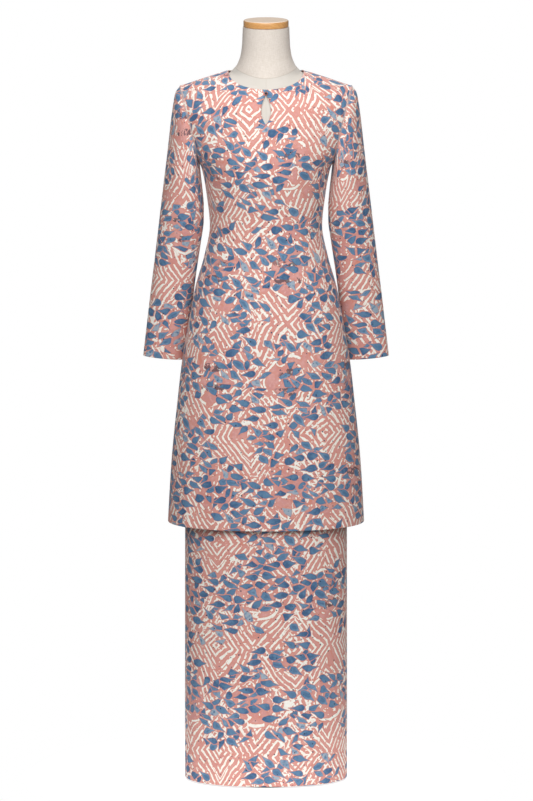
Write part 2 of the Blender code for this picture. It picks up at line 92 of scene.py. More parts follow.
# Skirt, dress form and stand.
SKIRT_HEM_Z = 0.0045
SKIRT_TOP_Z = 1.130
WAISTBAND_TOP_Z = 1.165
WAISTBAND_LENGTH = 0.66
FORM_BOTTOM_Z = 0.752
FORM_TOP_Z = 1.5835
FORM_NECK_Z = 1.47
FORM_NECK_RADIUS = 0.055
FORM_CHEST_RADIUS = 0.115
NECK_SEAM_REACH = 0.0655
NECK_CENTRE_Y = 0.004
CAP_RADIUS = 0.0467
CAP_TOP_Z = 1.598
CAP_LOW_EDGE = 0.0025
CAP_HIGH_EDGE = 0.003
POLE_RADIUS = 0.0125
POLE_FLANGE_RADIUS = 0.034
FLANGE_THICKNESS = 0.006
COLLAR_FLARE = 0.009
BASE_RADIUS = 0.105
BASE_THICKNESS = 0.014

# Fineness of the shells.
COLUMN_SHARES = np.concatenate([np.linspace(0.0, 0.984, 44), [0.993, 1.0]])
EDGE_ROWS = np.array([0.0, 0.0008, 0.0022, 0.0045])
ROW_STEP = 0.0062
KEYHOLE_ROWS = (40, 34, 8)
SLEEVE_STEPS = 9
FORM_COLUMNS = 160
TURNED_SIDES = 128
BAND_COLUMNS = 480
FLOOR_SIDES = 96

# Rings: height, half width, depths to the front and the back, the y of the sides, and the power
# of the superellipse.
TUNIC = [
    (TUNIC_HEM_Z, 0.2045, 0.129, 0.134, 0, 2.15),
    (0.616, 0.2008, 0.128, 0.133, 0, 2.15),
    (0.692, 0.1955, 0.127, 0.132, 0, 2.15),
    (0.793, 0.1851, 0.124, 0.13, 0, 2.15),
    (0.884, 0.1747, 0.121, 0.128, 0, 2.15),
    (0.955, 0.163, 0.118, 0.124, 0, 2.15),
    (1.044, 0.1456, 0.109, 0.112, 0.002, 2.15),
    (1.104, 0.1285, 0.103, 0.1, 0.004, 2.15),
    (1.169, 0.1166, 0.101, 0.092, 0.005, 2.15),
    (1.234, 0.1232, 0.11, 0.095, 0.006, 2.2),
    (1.291, 0.134, 0.119, 0.103, 0.007, 2.2),
    (1.301, 0.139, 0.119, 0.104, 0.007, 2.2),
    (1.313, 0.1465, 0.119, 0.105, 0.008, 2.2),
    (1.333, 0.158, 0.117, 0.106, 0.008, 2.2),
    (1.382, 0.1775, 0.11, 0.106, 0.009, 2.1),
    (1.422, 0.19, 0.101, 0.102, 0.011, 1.9),
    (1.452, 0.187, 0.089, 0.095, 0.013, 1.6),
    (1.456, 0.1835, 0.086, 0.093, 0.013, 1.55),
    (1.46, 0.178, 0.083, 0.091, 0.013, 1.5),
    (1.476, 0.128, 0.072, 0.082, 0.014, 1.5),
    (1.484, 0.1029, 0.064, 0.076, 0.015, 1.5),
    (1.492, 0.078, 0.055, 0.069, 0.015, 1.5),
]

SKIRT = [
    (SKIRT_HEM_Z, 0.1697, 0.118, 0.12, 0, 2.2),
    (0.4, 0.169, 0.118, 0.12, 0, 2.2),
    (0.6, 0.1685, 0.117, 0.12, 0, 2.2),
    (0.8, 0.1655, 0.113, 0.118, 0, 2.2),
    (0.879, 0.1615, 0.109, 0.115, 0, 2.2),
    (0.95, 0.1525, 0.105, 0.111, 0.001, 2.2),
    (1.039, 0.137, 0.099, 0.102, 0.002, 2.2),
    (1.1, 0.1205, 0.095, 0.092, 0.004, 2.2),
    (SKIRT_TOP_Z, 0.114, 0.093, 0.087, 0.005, 2.2),
]

WAISTBAND = [
    (SKIRT_TOP_Z + SEAM_GAP, 0.114, 0.093, 0.087, 0.005, 2.2),
    (WAISTBAND_TOP_Z, 0.1125, 0.093, 0.086, 0.005, 2.2),
]

FORM = [
    (FORM_BOTTOM_Z, 0.138, 0.088, 0.096, 0.004, 2.2),
    (0.757, 0.145, 0.095, 0.103, 0.004, 2.2),
    (0.768, 0.149, 0.099, 0.107, 0.004, 2.2),
    (0.8, 0.152, 0.101, 0.11, 0.004, 2.2),
    (0.87, 0.151, 0.1, 0.108, 0.003, 2.2),
    (0.95, 0.143, 0.096, 0.103, 0.003, 2.2),
    (1.039, 0.127, 0.091, 0.094, 0.003, 2.2),
    (1.1, 0.111, 0.086, 0.084, 0.004, 2.2),
    (1.15, 0.1035, 0.084, 0.079, 0.005, 2.2),
    (1.2, 0.106, 0.089, 0.081, 0.006, 2.2),
    (1.25, 0.1145, 0.103, 0.088, 0.006, 2.2),
    (1.301, 0.128, 0.113, 0.0965, 0.007, 2.2),
    (1.333, 0.139, 0.1115, 0.0995, 0.008, 2.2),
    (1.382, 0.151, 0.105, 0.1005, 0.009, 2.2),
    (1.422, 0.16, 0.0965, 0.097, 0.011, 2),
    (1.447, 0.1645, 0.086, 0.0903, 0.013, 1.8),
    (1.456, 0.162, 0.0805, 0.087, 0.013, 1.6),
    (1.462, 0.156, 0.0757, 0.0842, 0.013, 1.5),
    (1.468, 0.1365, 0.072, 0.081, 0.014, 1.5),
    (1.476, 0.111, 0.066, 0.076, 0.014, 1.5),
    (1.486, 0.077, 0.058, 0.069, 0.012, 1.6),
    (1.495, 0.068, 0.054, 0.064, 0.009, 1.8),
    (1.502, 0.0614, 0.0515, 0.061, 0.007, 2),
    (1.511, 0.0572, 0.0493, 0.0585, 0.005, 2),
    (1.523, 0.053, 0.047, 0.056, 0.004, 2),
    (1.545, 0.0498, 0.0452, 0.054, 0.004, 2),
    (FORM_TOP_Z, 0.048, 0.044, 0.052, 0.004, 2),
]

# Rings of the sleeve: step, the x and z of its outer and of its inner point as seen from the front,
# half depth, the middle's y, and how much of the armhole's own shape it keeps.
SLEEVE = [
    (0, 0.178, 1.46, 0.139, 1.301, 0.052, 0.004, 1),
    (1, 0.188, 1.446, 0.1374, 1.293, 0.0545, 0.005, 0.75),
    (2, 0.1922, 1.424, 0.136, 1.282, 0.0565, 0.006, 0.45),
    (3, 0.1966, 1.392, 0.1345, 1.268, 0.058, 0.008, 0.2),
    (4, 0.201, 1.352, 0.1325, 1.251, 0.059, 0.01, 0.05),
    (5, 0.206, 1.308, 0.1305, 1.231, 0.0585, 0.012, 0),
    (6, 0.2115, 1.263, 0.129, 1.209, 0.056, 0.015, 0),
    (7, 0.218, 1.209, 0.129, 1.178, 0.052, 0.019, 0),
    (8, 0.2255, 1.145, 0.1352, 1.13, 0.0465, 0.025, 0),
    (9, 0.234, 1.074, 0.145, 1.063, 0.04, 0.033, 0),
    (10, 0.243, 1, 0.154, 0.99, 0.0335, 0.041, 0),
    (11, 0.2505, 0.935, 0.1635, 0.926, 0.028, 0.046, 0),
    (12, 0.256, 0.888, 0.1705, 0.88, 0.0235, 0.049, 0),
]

# Soft ridges, or troughs where the height is below zero, on the flat cloth: how far across from the
# middle line and up from the hem each starts, the same for its end, its width and its height.
TUNIC_FRONT_CREASES = [
    (0.15, 0.735, 0.078, 0.7, 0.0085, 0.0016),
    (0.146, 0.716, 0.09, 0.66, 0.007, 0.0012),
    (-0.15, 0.738, -0.07, 0.712, 0.008, 0.0014),
    (-0.148, 0.712, -0.098, 0.648, 0.0075, 0.0013),
    (0.14, 0.64, 0.06, 0.618, 0.009, 0.0013),
    (0.138, 0.606, 0.082, 0.598, 0.007, 0.0011),
    (-0.142, 0.628, -0.052, 0.612, 0.0095, 0.0013),
    (-0.136, 0.588, -0.09, 0.59, 0.007, 0.001),
    (0.052, -0.12, 0.066, 0.33, 0.017, 0.0027),
    (-0.092, -0.14, -0.074, 0.27, 0.019, 0.003),
    (0.148, -0.11, 0.128, 0.25, 0.015, 0.0023),
    (-0.012, -0.1, -0.022, 0.19, 0.014, 0.0016),
    (-0.168, -0.09, -0.15, 0.21, 0.013, 0.0018),
    (0.098, 0.905, 0.07, 0.8, 0.01, 0.001),
    (-0.092, 0.9, -0.074, 0.812, 0.009, 0.0009),
]

TUNIC_BACK_CREASES = [
    (0.138, 0.742, 0.07, 0.735, 0.009, 0.0013),
    (-0.136, 0.73, -0.06, 0.742, 0.0085, 0.0012),
    (0.12, 0.632, -0.05, 0.622, 0.0095, 0.0019),
    (-0.125, 0.606, 0.03, 0.6, 0.0085, 0.0016),
    (0.118, 0.575, 0.02, 0.58, 0.008, 0.0012),
    (0.082, -0.13, 0.07, 0.3, 0.018, 0.0028),
    (-0.05, -0.12, -0.06, 0.35, 0.017, 0.0026),
    (0.16, -0.1, 0.142, 0.22, 0.014, 0.002),
    (-0.14, -0.12, -0.126, 0.24, 0.016, 0.0024),
    (0.1, 0.88, 0.062, 0.79, 0.01, 0.001),
    (-0.094, 0.885, -0.058, 0.8, 0.0095, 0.0009),
]

SKIRT_FRONT_CREASES = [
    (0.07, -0.15, 0.058, 0.62, 0.021, 0.0022),
    (-0.048, -0.18, -0.062, 0.54, 0.024, 0.0024),
    (-0.13, -0.12, -0.118, 0.42, 0.018, 0.0017),
    (0.136, -0.14, 0.128, 0.36, 0.017, 0.0018),
    (0.008, 0.18, 0.014, 0.64, 0.018, -0.0013),
]

SKIRT_BACK_CREASES = [
    (-0.076, -0.16, -0.06, 0.6, 0.022, 0.0022),
    (0.04, -0.15, 0.056, 0.56, 0.023, 0.0024),
    (0.128, -0.12, 0.122, 0.38, 0.017, 0.0018),
    (-0.14, -0.13, -0.132, 0.34, 0.016, 0.0016),
    (0, 0.2, -0.008, 0.66, 0.018, -0.0012),
]

SLEEVE_CREASES = [
    (0.128, 0.33, 0.05, 0.3, 0.0075, 0.0019),
    (0.13, 0.296, 0.06, 0.276, 0.0065, 0.0015),
    (0.132, 0.268, 0.078, 0.24, 0.007, 0.0013),
    (-0.126, 0.318, -0.056, 0.286, 0.007, 0.0015),
    (-0.128, 0.282, -0.07, 0.256, 0.007, 0.0012),
    (0.09, 0.44, 0.04, 0.386, 0.009, 0.0014),
    (-0.086, 0.43, -0.048, 0.372, 0.009, 0.0012),
    (0.03, 0.18, 0.022, 0.04, 0.011, 0.0012),
    (-0.058, 0.2, -0.05, 0.06, 0.012, 0.0013),
]


def mix(a, b, t):
    return a + (b - a) * t


def ease(t):
    t = np.clip(t, 0.0, 1.0)
    return t * t * (3 - 2 * t)


def unit(vectors):
    return vectors / np.maximum(np.linalg.norm(vectors, axis=-1, keepdims=True), 1e-12)


def curve_through(rows, at):
    """Each later column of a table at each value of its first, on smooth curves through the rows."""
    rows = np.array(rows, float)
    first = rows[:, 0]
    at = np.clip(np.asarray(at, float), first[0], first[-1])
    low = np.clip(np.searchsorted(first, at, side="right") - 1, 0, len(first) - 2)
    span = (first[low + 1] - first[low])[..., None]
    t = (at - first[low])[..., None] / span
    rises = np.diff(rows[:, 1:], axis=0) / np.diff(first)[:, None]
    before = rises[:-1]
    after = rises[1:]
    same_way = before * after > 0
    total = np.where(same_way, before + after, 1.0)
    inner = np.where(same_way, 2 * before * after / total, 0.0)
    slope = np.vstack([rises[:1], inner, rises[-1:]])
    values = rows[:, 1:]
    found = (
        (1 + 2 * t) * (1 - t) ** 2 * values[low]
        + t * (1 - t) ** 2 * span * slope[low]
        + t * t * (3 - 2 * t) * values[low + 1]
        + t * t * (t - 1) * span * slope[low + 1]
    )
    return np.moveaxis(found, -1, 0)


def surface(table, x, z, side):
    """The points at x and z on the front or back of the rings, and their outward directions."""

    def depths(height):
        half_width, front, back, side_y, power = curve_through(table, height)
        return half_width, side_y + front if side < 0 else back - side_y, side_y, power

    def level(px, py, pz):
        half_width, depth, side_y, power = depths(pz)
        return (np.abs(px) / half_width) ** power + (np.abs(py - side_y) / depth) ** power

    half_width, depth, side_y, power = depths(z)
    across = np.minimum(np.abs(x) / half_width, 1.0)
    y = side_y + side * depth * (1 - across**power) ** (1 / power)
    step = 1e-5
    normal = np.stack(
        [
            level(x + step, y, z) - level(x - step, y, z),
            level(x, y + step, z) - level(x, y - step, z),
            level(x, y, z + step) - level(x, y, z - step),
        ],
        axis=-1,
    )
    return np.stack([x, y, z], axis=-1), unit(normal)


def ring_x(table, z, share):
    """The x of a ring at a share of 0 at the middle to 1 at the side line."""
    half_width, _, _, _, power = curve_through(table, z)
    return half_width * np.sin(share * math.pi / 2) ** (2 / power)


def rows_between(low, high):
    """Heights from a free edge at low up to high, closer together at the edge."""
    start = low + EDGE_ROWS[-1]
    count = max(2, int(round((high - start) / ROW_STEP)))
    return np.concatenate([low + EDGE_ROWS[:-1], np.linspace(start, high, count + 1)])


# Cloth pieces. A sheet is a grid with a row for each level and a column for each step from the
# piece's middle line to its side. It holds outer points, the way in from each, and flat places.
Sheet = namedtuple("Sheet", "points inwards flat")


def lay_flat(points, rounds=260):
    """Where the points of a sheet lie once it is flat: across from the middle, and up from the
    hem. It starts from the lengths along its rows and columns and is then evened out."""
    rows = np.linalg.norm(np.diff(points, axis=1), axis=-1)
    first = np.abs(points[:, :1, 0]) if np.abs(points[:, 0, 0]).max() < 0.02 else 0.0
    across = np.concatenate([np.zeros((len(points), 1)), np.cumsum(rows, axis=1)], axis=1) + first
    lengths = np.linalg.norm(np.diff(points, axis=0), axis=-1)
    rise = np.sqrt(np.maximum(lengths**2 - np.diff(across, axis=0) ** 2, (0.3 * lengths) ** 2))
    up = np.concatenate([np.zeros((1, points.shape[1])), np.cumsum(rise, axis=0)])
    flat = np.stack([across, up], axis=-1)
    held = flat[:, 0].copy()
    links = [
        (np.s_[:, :-1], np.s_[:, 1:]),
        (np.s_[:-1, :], np.s_[1:, :]),
        (np.s_[:-1, :-1], np.s_[1:, 1:]),
        (np.s_[:-1, 1:], np.s_[1:, :-1]),
    ]
    real = [np.linalg.norm(points[b] - points[a], axis=-1) for a, b in links]
    for _ in range(rounds):
        move = np.zeros_like(flat)
        weight = np.zeros(flat.shape[:2])
        for (a, b), length in zip(links, real):
            gap = flat[b] - flat[a]
            now = np.maximum(np.linalg.norm(gap, axis=-1), 1e-9)
            step = gap * ((now - length) / now / 2)[..., None]
            move[a] += step
            move[b] -= step
            weight[a] += 1
            weight[b] += 1
        flat += move / weight[..., None] * 1.6
        flat[:, 0] = held
    return flat


def crease_height(flat, creases):
    """How far the creases lift the cloth at each flat place."""
    height = np.zeros(flat.shape[:2])
    for across, up, to_across, to_up, width, lift in creases:
        start = np.array([across, up])
        along = np.array([to_across, to_up]) - start
        length = np.linalg.norm(along)
        along = along / length
        offset = flat - start
        share = offset @ along / length
        bow = 0.06 * length * np.sin(math.pi * np.clip(share, 0, 1))
        beside = offset @ np.array([-along[1], along[0]]) - bow
        fade = np.sin(math.pi * np.clip(share, 0, 1)) ** 1.3
        height += lift * fade * np.exp(-((beside / width) ** 2))
    return height


def edge_distances(points):
    """The distance of each point of a sheet from its side edge and from its top edge."""
    rows = np.linalg.norm(np.diff(points, axis=1), axis=-1)
    side = np.concatenate([np.cumsum(rows[:, ::-1], axis=1)[:, ::-1], np.zeros((len(rows), 1))], axis=1)
    columns = np.linalg.norm(np.diff(points, axis=0), axis=-1)
    top = np.concatenate([np.cumsum(columns[::-1], axis=0)[::-1], np.zeros((1, points.shape[1]))])
    return side, top


def seam_dip(distance):
    return SEAM_DIP * np.exp(-((distance / SEAM_DIP_WIDTH) ** 2))


def hem_thickness(flat):
    """A turned hem makes the cloth thicker on its inside up to the hem's depth."""
    return CLOTH + HEM_EXTRA * (1 - ease((flat[..., 1] - HEM_DEPTH) / 0.004))


def keyhole_half_width(z):
    """Half the width of the keyhole at height z, a drop that is widest below its middle."""
    along = np.clip((z - KEYHOLE_BOTTOM_Z) / (KEYHOLE_TOP_Z - KEYHOLE_BOTTOM_Z), 0.0, 1.0)
    drop = KEYHOLE_HALF_WIDTH * np.sin(math.pi * along**0.9).clip(0) ** 0.85
    return np.where(along > 0, np.maximum(SLIT_HALF_GAP, drop), 0.0)


def armhole_x(z, scoop):
    """The armhole leans outwards from the underarm to the shoulder tip, scooped in between."""
    along = (z - UNDERARM_Z) / (SHOULDER_TIP_Z - UNDERARM_Z)
    lean = mix(UNDERARM_X, SHOULDER_TIP_X, along)
    return lean - scoop * np.sin(math.pi * np.clip(along, 0.0, 1.0))


def top_edge(share, neck_z):
    """The neckline up to the neck point, then the shoulder line out to the tip."""
    turn = np.minimum(share / NECK_SHARE, 1.0) ** NECK_SPREAD * math.pi / 2
    along = np.maximum((share - NECK_SHARE) / (1 - NECK_SHARE), 0.0)
    on_neck = share <= NECK_SHARE
    x = np.where(on_neck, NECK_POINT_X * np.sin(turn), mix(NECK_POINT_X, SHOULDER_TIP_X, along))
    z = np.where(
        on_neck,
        mix(NECK_POINT_Z, neck_z, np.cos(turn)),
        mix(NECK_POINT_Z, SHOULDER_TIP_Z, along),
    )
    return x, z


def middle_shares(neck_z, keyhole):
    """How far up the middle line each row above the underarm starts, from 0 to 1."""
    if not keyhole:
        return np.linspace(0, 1, sum(KEYHOLE_ROWS) + 1)
    stops = [UNDERARM_Z, KEYHOLE_BOTTOM_Z, KEYHOLE_TOP_Z, neck_z]
    heights = [np.array([UNDERARM_Z])]
    for count, low, high in zip(KEYHOLE_ROWS, stops, stops[1:]):
        heights.append(np.linspace(low, high, count + 1)[1:])
    return (np.concatenate(heights) - UNDERARM_Z) / (neck_z - UNDERARM_Z)


def upper_places(neck_z, keyhole, scoop):
    """The x and z of the rows above the underarm, between the middle line, armhole and top."""
    share = COLUMN_SHARES[None, :]
    middle = middle_shares(neck_z, keyhole)[:, None]
    steps = np.linspace(0, 1, len(middle))[:, None]
    v = mix(middle, (1 - np.cos(math.pi * steps)) / 2, ease(share / 0.45))
    top_x, top_z = top_edge(share, neck_z)
    middle_z = mix(UNDERARM_Z, neck_z, v)
    arm_z = mix(UNDERARM_Z, SHOULDER_TIP_Z, v)
    bottom_x = ring_x(TUNIC, UNDERARM_Z, share)
    x = mix(bottom_x, top_x, v) + share * armhole_x(arm_z, scoop)
    x -= share * mix(UNDERARM_X, SHOULDER_TIP_X, v)
    z = mix(UNDERARM_Z, top_z, v) + mix(middle_z, arm_z, share)
    z -= mix(UNDERARM_Z, mix(neck_z, SHOULDER_TIP_Z, share), v)
    if keyhole:
        reach = np.array([np.interp(KEYHOLE_REACH, COLUMN_SHARES, row) for row in x])[:, None]
        x += keyhole_half_width(z) * np.maximum(0.0, 1 - x / reach)
    x[-1] = np.minimum(x[-1], curve_through(TUNIC, z[-1])[0])
    x[0, -1] = min(x[0, -1], UNDERARM_X)
    return x, z


def armhole_lean():
    return math.atan2(SHOULDER_TIP_X - UNDERARM_X, SHOULDER_TIP_Z - UNDERARM_Z)


def armhole_inwards(points, inwards, side):
    """Turns the ways in along the armhole into the armhole's plane, over the last few columns."""
    lean = armhole_lean()
    outwards = np.array([math.cos(lean), 0.0, -math.sin(lean)])
    edge = points[:, -1]
    along = np.empty_like(edge)
    along[1:-1] = edge[2:] - edge[:-2]
    along[0] = (0, side, 0)
    along[-1] = (0, -side, 0)
    plane_way = unit(np.cross(outwards, along)) * -side
    square = np.maximum((unit(inwards[:, -1]) * plane_way).sum(-1), 0.1)
    rim = plane_way * CLOTH * np.minimum(WIDEST_ARMHOLE_RIM, 1 / square)[:, None]
    distance, _ = edge_distances(points)
    near = (1 - ease(distance / 0.005))[..., None]
    return mix(inwards, rim[:, None, :], near)


def mirrored(points, inwards, flat, mirror):
    """A sheet made for the left side, or its mirror image on the right where mirror is -1."""
    turn = np.array([mirror, 1.0, 1.0])
    return Sheet(points * turn, inwards * turn, flat)


def tunic_half(side, neck_z, keyhole, scoop, creases, mirror):
    """One half of the tunic's front or back, from its middle line to its side seam and armhole."""
    low_z = rows_between(TUNIC_HEM_Z, UNDERARM_Z)[:-1][:, None] + 0 * COLUMN_SHARES[None, :]
    low_x = ring_x(TUNIC, low_z, COLUMN_SHARES[None, :])
    up_x, up_z = upper_places(neck_z, keyhole, scoop)
    x = np.vstack([low_x, up_x])
    z = np.vstack([low_z, up_z])
    points, normal = surface(TUNIC, x, z, side)
    from_side, from_top = edge_distances(points)
    on_shoulder = np.arange(x.shape[1]) >= np.searchsorted(COLUMN_SHARES, NECK_SHARE)
    to_seam = np.where(on_shoulder, curve_through(TUNIC, z[-1])[3] - points[-1, :, 1], 0.0)
    points[..., 1] += to_seam * (1 - ease(from_top / SHOULDER_CLOSING))
    flat = lay_flat(points)
    flat[..., 0] *= mirror
    quiet = ease(from_side / CREASE_TO_SEAM) * ease(from_top / CREASE_TO_TOP)
    if keyhole:
        from_slit = np.hypot(x, np.maximum(KEYHOLE_BOTTOM_Z - z, 0.0))
        quiet *= ease((from_slit - 0.012) / 0.02)
    lift = crease_height(flat, creases) * quiet
    lift -= seam_dip(from_side) + seam_dip(from_top) * on_shoulder
    inwards = -normal * hem_thickness(flat)[..., None]
    upper = len(low_z)
    inwards[upper:] = armhole_inwards(points[upper:], inwards[upper:], side)
    points = points + normal * lift[..., None]
    points[: upper + 1, -1, 1] += side * SEAM_GAP / 2
    points[-1, on_shoulder, 1] += side * SEAM_GAP / 2
    return mirrored(points, inwards, flat, mirror), upper


def skirt_half(side, creases, mirror):
    """One half of the skirt's front or back, from its middle line to its side seam."""
    z = rows_between(SKIRT_HEM_Z, SKIRT_TOP_Z)[:, None] + 0 * COLUMN_SHARES[None, :]
    x = ring_x(SKIRT, z, COLUMN_SHARES[None, :])
    points, normal = surface(SKIRT, x, z, side)
    flat = lay_flat(points)
    flat[..., 0] *= mirror
    from_side, from_top = edge_distances(points)
    quiet = ease(from_side / CREASE_TO_SEAM) * ease(from_top / CREASE_TO_WAIST)
    lift = crease_height(flat, creases) * quiet - seam_dip(from_side)
    points = points + normal * lift[..., None]
    points[:, -1, 1] += side * SEAM_GAP / 2
    return mirrored(points, -normal * hem_thickness(flat)[..., None], flat, mirror)


def sleeve_halves(front, back, upper):
    """The left sleeve's front and back halves, each from its outer line to its underarm line,
    with the cuff as the first row."""
    lean = armhole_lean()
    outwards = np.array([math.cos(lean), 0.0, -math.sin(lean)]) * ARMHOLE_GAP
    front_edge = front.points[upper:, -1][::-1].copy()
    back_edge = back.points[upper:, -1][::-1].copy()
    ways = [front.inwards[upper:, -1][::-1].copy(), back.inwards[upper:, -1][::-1].copy()]
    for end in (0, -1):
        front_edge[end] = back_edge[end] = (front_edge[end] + back_edge[end]) / 2
        ways[0][end] = ways[1][end] = (ways[0][end] + ways[1][end]) / 2
    step = np.linspace(0, len(SLEEVE) - 1, (len(SLEEVE) - 1) * SLEEVE_STEPS + 1)
    cuff = len(SLEEVE) - 1 - np.array([0.0, 0.017, 0.047])
    step = np.concatenate([step[:-1], cuff[::-1]])
    outer_x, outer_z, inner_x, inner_z, half_depth, middle_y, keep = curve_through(SLEEVE, step)
    middle = np.stack([(outer_x + inner_x) / 2, middle_y, (outer_z + inner_z) / 2], axis=-1)
    reach = np.stack([(outer_x - inner_x) / 2, 0 * step, (outer_z - inner_z) / 2], axis=-1)

    def oval(turn):
        depth = half_depth[:, None] * np.sin(turn)
        points = middle[:, None] + reach[:, None] * np.cos(turn)[..., None]
        points[..., 1] -= depth
        return points

    halves = []
    for edge, way, side in zip((front_edge, back_edge), ways, (-1, 1)):
        offset = edge - middle[0]
        turns = np.arctan2(-offset[:, 1] / half_depth[0], offset @ reach[0] / (reach[0] @ reach[0]))
        turns = np.abs(turns)
        turns[[0, -1]] = 0.0, math.pi
        even = np.linspace(0, math.pi, len(edge))
        turn = -side * mix(turns[None, :], even[None, :], ease(step / 6)[:, None])
        own = edge - oval(-side * turns[None, :] + 0 * step[:, None])[0]
        points = oval(turn) + own[None] * keep[:, None, None]
        points += outwards * np.maximum(0, 1 - step)[:, None, None]
        halves.append([points[::-1], way, side])
    return halves


def sleeve_sheets(halves, mirror):
    """Shells for both halves of a sleeve, left or mirrored to the right."""
    sheets = []
    for points, way, side in halves:
        around = np.empty_like(points)
        around[:, 1:-1] = points[:, 2:] - points[:, :-2]
        around[:, 0] = (0, side, 0)
        around[:, -1] = (0, -side, 0)
        along = np.gradient(points, axis=0)
        normal = unit(np.cross(around, along)) * side
        flat = lay_flat(points, rounds=160)
        flat[..., 0] *= side
        from_line, from_top = edge_distances(points)
        quiet = ease(from_line / 0.02) * ease(from_top / CREASE_TO_ARMHOLE)
        lift = crease_height(flat, SLEEVE_CREASES) * quiet
        lift -= seam_dip(from_line) + seam_dip(from_top)
        near = (1 - ease(from_top / 0.006))[..., None]
        inwards = mix(-normal * hem_thickness(flat)[..., None], way[None], near)
        sheets.append(mirrored(points + normal * lift[..., None], inwards, flat, mirror))
    return sheets


def grid_faces(number):
    """The four-cornered faces of a grid of point numbers."""
    corners = [number[:-1, :-1], number[:-1, 1:], number[1:, 1:], number[1:, :-1]]
    return np.stack(corners, axis=-1).reshape(-1, 4)


def ring_faces(rows, columns, closed=False):
    """The faces between rings of points, and from the last ring back to the first where closed."""
    number = np.arange(rows * columns).reshape(rows, columns)
    return grid_faces(np.pad(number, ((0, int(closed)), (0, 1)), "wrap"))


def smooth_mesh(name, points, faces, materials, face_slots=None, sharp=None):
    mesh = bpy.data.meshes.new(name)
    mesh.from_pydata(np.reshape(points, (-1, 3)).tolist(), [], faces)
    for material in materials:
        mesh.materials.append(material)
    if face_slots is not None:
        mesh.polygons.foreach_set("material_index", np.asarray(face_slots, np.int32))
    mesh.shade_smooth()
    if sharp:
        mesh.set_sharp_from_angle(angle=math.radians(sharp))
    thing = bpy.data.objects.new(name, mesh)
    bpy.context.scene.collection.objects.link(thing)
    return thing


def add_map(thing, name, places):
    """A UV map from one flat place for each corner of the mesh."""
    layer = thing.data.uv_layers.new(name=name, do_init=False)
    layer.uv.foreach_set("vector", np.asarray(places, np.float32).ravel())


def crossed(points, quads):
    """The cross product of the diagonals of each face, which points out of it."""
    a, b, c, d = (points[quads[:, k]] for k in range(4))
    return np.cross(c - a, d - b)


def shell_volume(points, faces):
    a, b, c, d = (points[faces[:, k]] for k in range(4))
    return ((np.cross(b, c) * a).sum() + (np.cross(c, d) * a).sum()) / 6


def cloth_shell(name, sheets, print_at, materials):
    """A closed shell from sheets, sewn where they share points, with its flat and print maps and
    the outside's and the inside's material. Returns it with its flat width, flat length and area."""
    outer = np.concatenate([s.points.reshape(-1, 3) for s in sheets])
    inwards = np.concatenate([s.inwards.reshape(-1, 3) for s in sheets])
    flat = np.concatenate([s.flat.reshape(-1, 2) for s in sheets])
    keys = np.round(outer * 1e6).astype(np.int64)
    _, kept, index = np.unique(keys, axis=0, return_index=True, return_inverse=True)
    index = index.ravel()
    corners = []
    start = 0
    for sheet in sheets:
        rows, columns = sheet.flat.shape[:2]
        quads = grid_faces(start + np.arange(rows * columns).reshape(rows, columns))
        way = (crossed(outer, quads) * inwards[quads[:, 0]]).sum()
        corners.append(quads[:, ::-1] if way > 0 else quads)
        start += rows * columns
    corners = np.concatenate(corners)
    quads = index[corners]
    count = len(kept)
    directed = np.stack([quads, np.roll(quads, -1, axis=1)], axis=-1).reshape(-1, 2)
    codes = directed[:, 0] * count + directed[:, 1]
    reverse = directed[:, 1] * count + directed[:, 0]
    free = ~np.isin(codes, reverse)
    rim_ends = directed[free]
    rim_corners = np.stack([corners, np.roll(corners, -1, axis=1)], axis=-1).reshape(-1, 2)[free]
    outside = outer[kept]
    inside = outside + inwards[kept]
    rim = np.unique(rim_ends)
    pinch = (inside[rim] - outside[rim]) * EDGE_PINCH
    outside[rim] += pinch
    inside[rim] -= pinch
    rim_quads = np.hstack([rim_ends[:, ::-1], rim_ends + count])
    rim_flat = np.hstack([rim_corners[:, ::-1], rim_corners])
    faces = np.concatenate([quads, quads[:, ::-1] + count, rim_quads])
    places = flat[np.concatenate([corners, corners[:, ::-1], rim_flat]).ravel()]
    points = np.concatenate([outside, inside])
    if shell_volume(points, faces) < 0:
        raise ValueError(f"{name} is inside out")
    face_slots = np.zeros(len(faces), np.int32)
    face_slots[len(quads) : 2 * len(quads)] = 1
    thing = smooth_mesh(name, points, faces.tolist(), materials, face_slots)
    add_map(thing, "flat", places)
    add_map(thing, "print", places + np.array(print_at))
    area = float(np.linalg.norm(crossed(outside, quads), axis=-1).sum() / 2)
    width, length = (float(size) for size in np.ptp(flat, axis=0))
    return thing, width, length, area


# Materials.
def srgb(red, green, blue):
    """A colour given as screen values from 0 to 255."""

    def linear(value):
        value /= 255
        return value / 12.92 if value <= 0.04045 else ((value + 0.055) / 1.055) ** 2.4

    return (linear(red), linear(green), linear(blue), 1.0)


class Value:
    """A node's output, a number or a vector, that plain arithmetic can be done with."""

    def __init__(self, output, work):
        self.output = output
        self.work = work

    def __add__(self, other):
        return self.work("ADD", self, other)

    def __sub__(self, other):
        return self.work("SUBTRACT", self, other)

    def __rsub__(self, other):
        return self.work("SUBTRACT", other, self)

    def __mul__(self, other):
        return self.work("MULTIPLY", self, other)

    def __truediv__(self, other):
        return self.work("DIVIDE", self, other)

    def __pow__(self, power):
        return self.work("POWER", self, power)

    def __gt__(self, other):
        return self.work("GREATER_THAN", self, other)

    def __abs__(self):
        return self.work("ABSOLUTE", self)

    __radd__ = __add__
    __rmul__ = __mul__


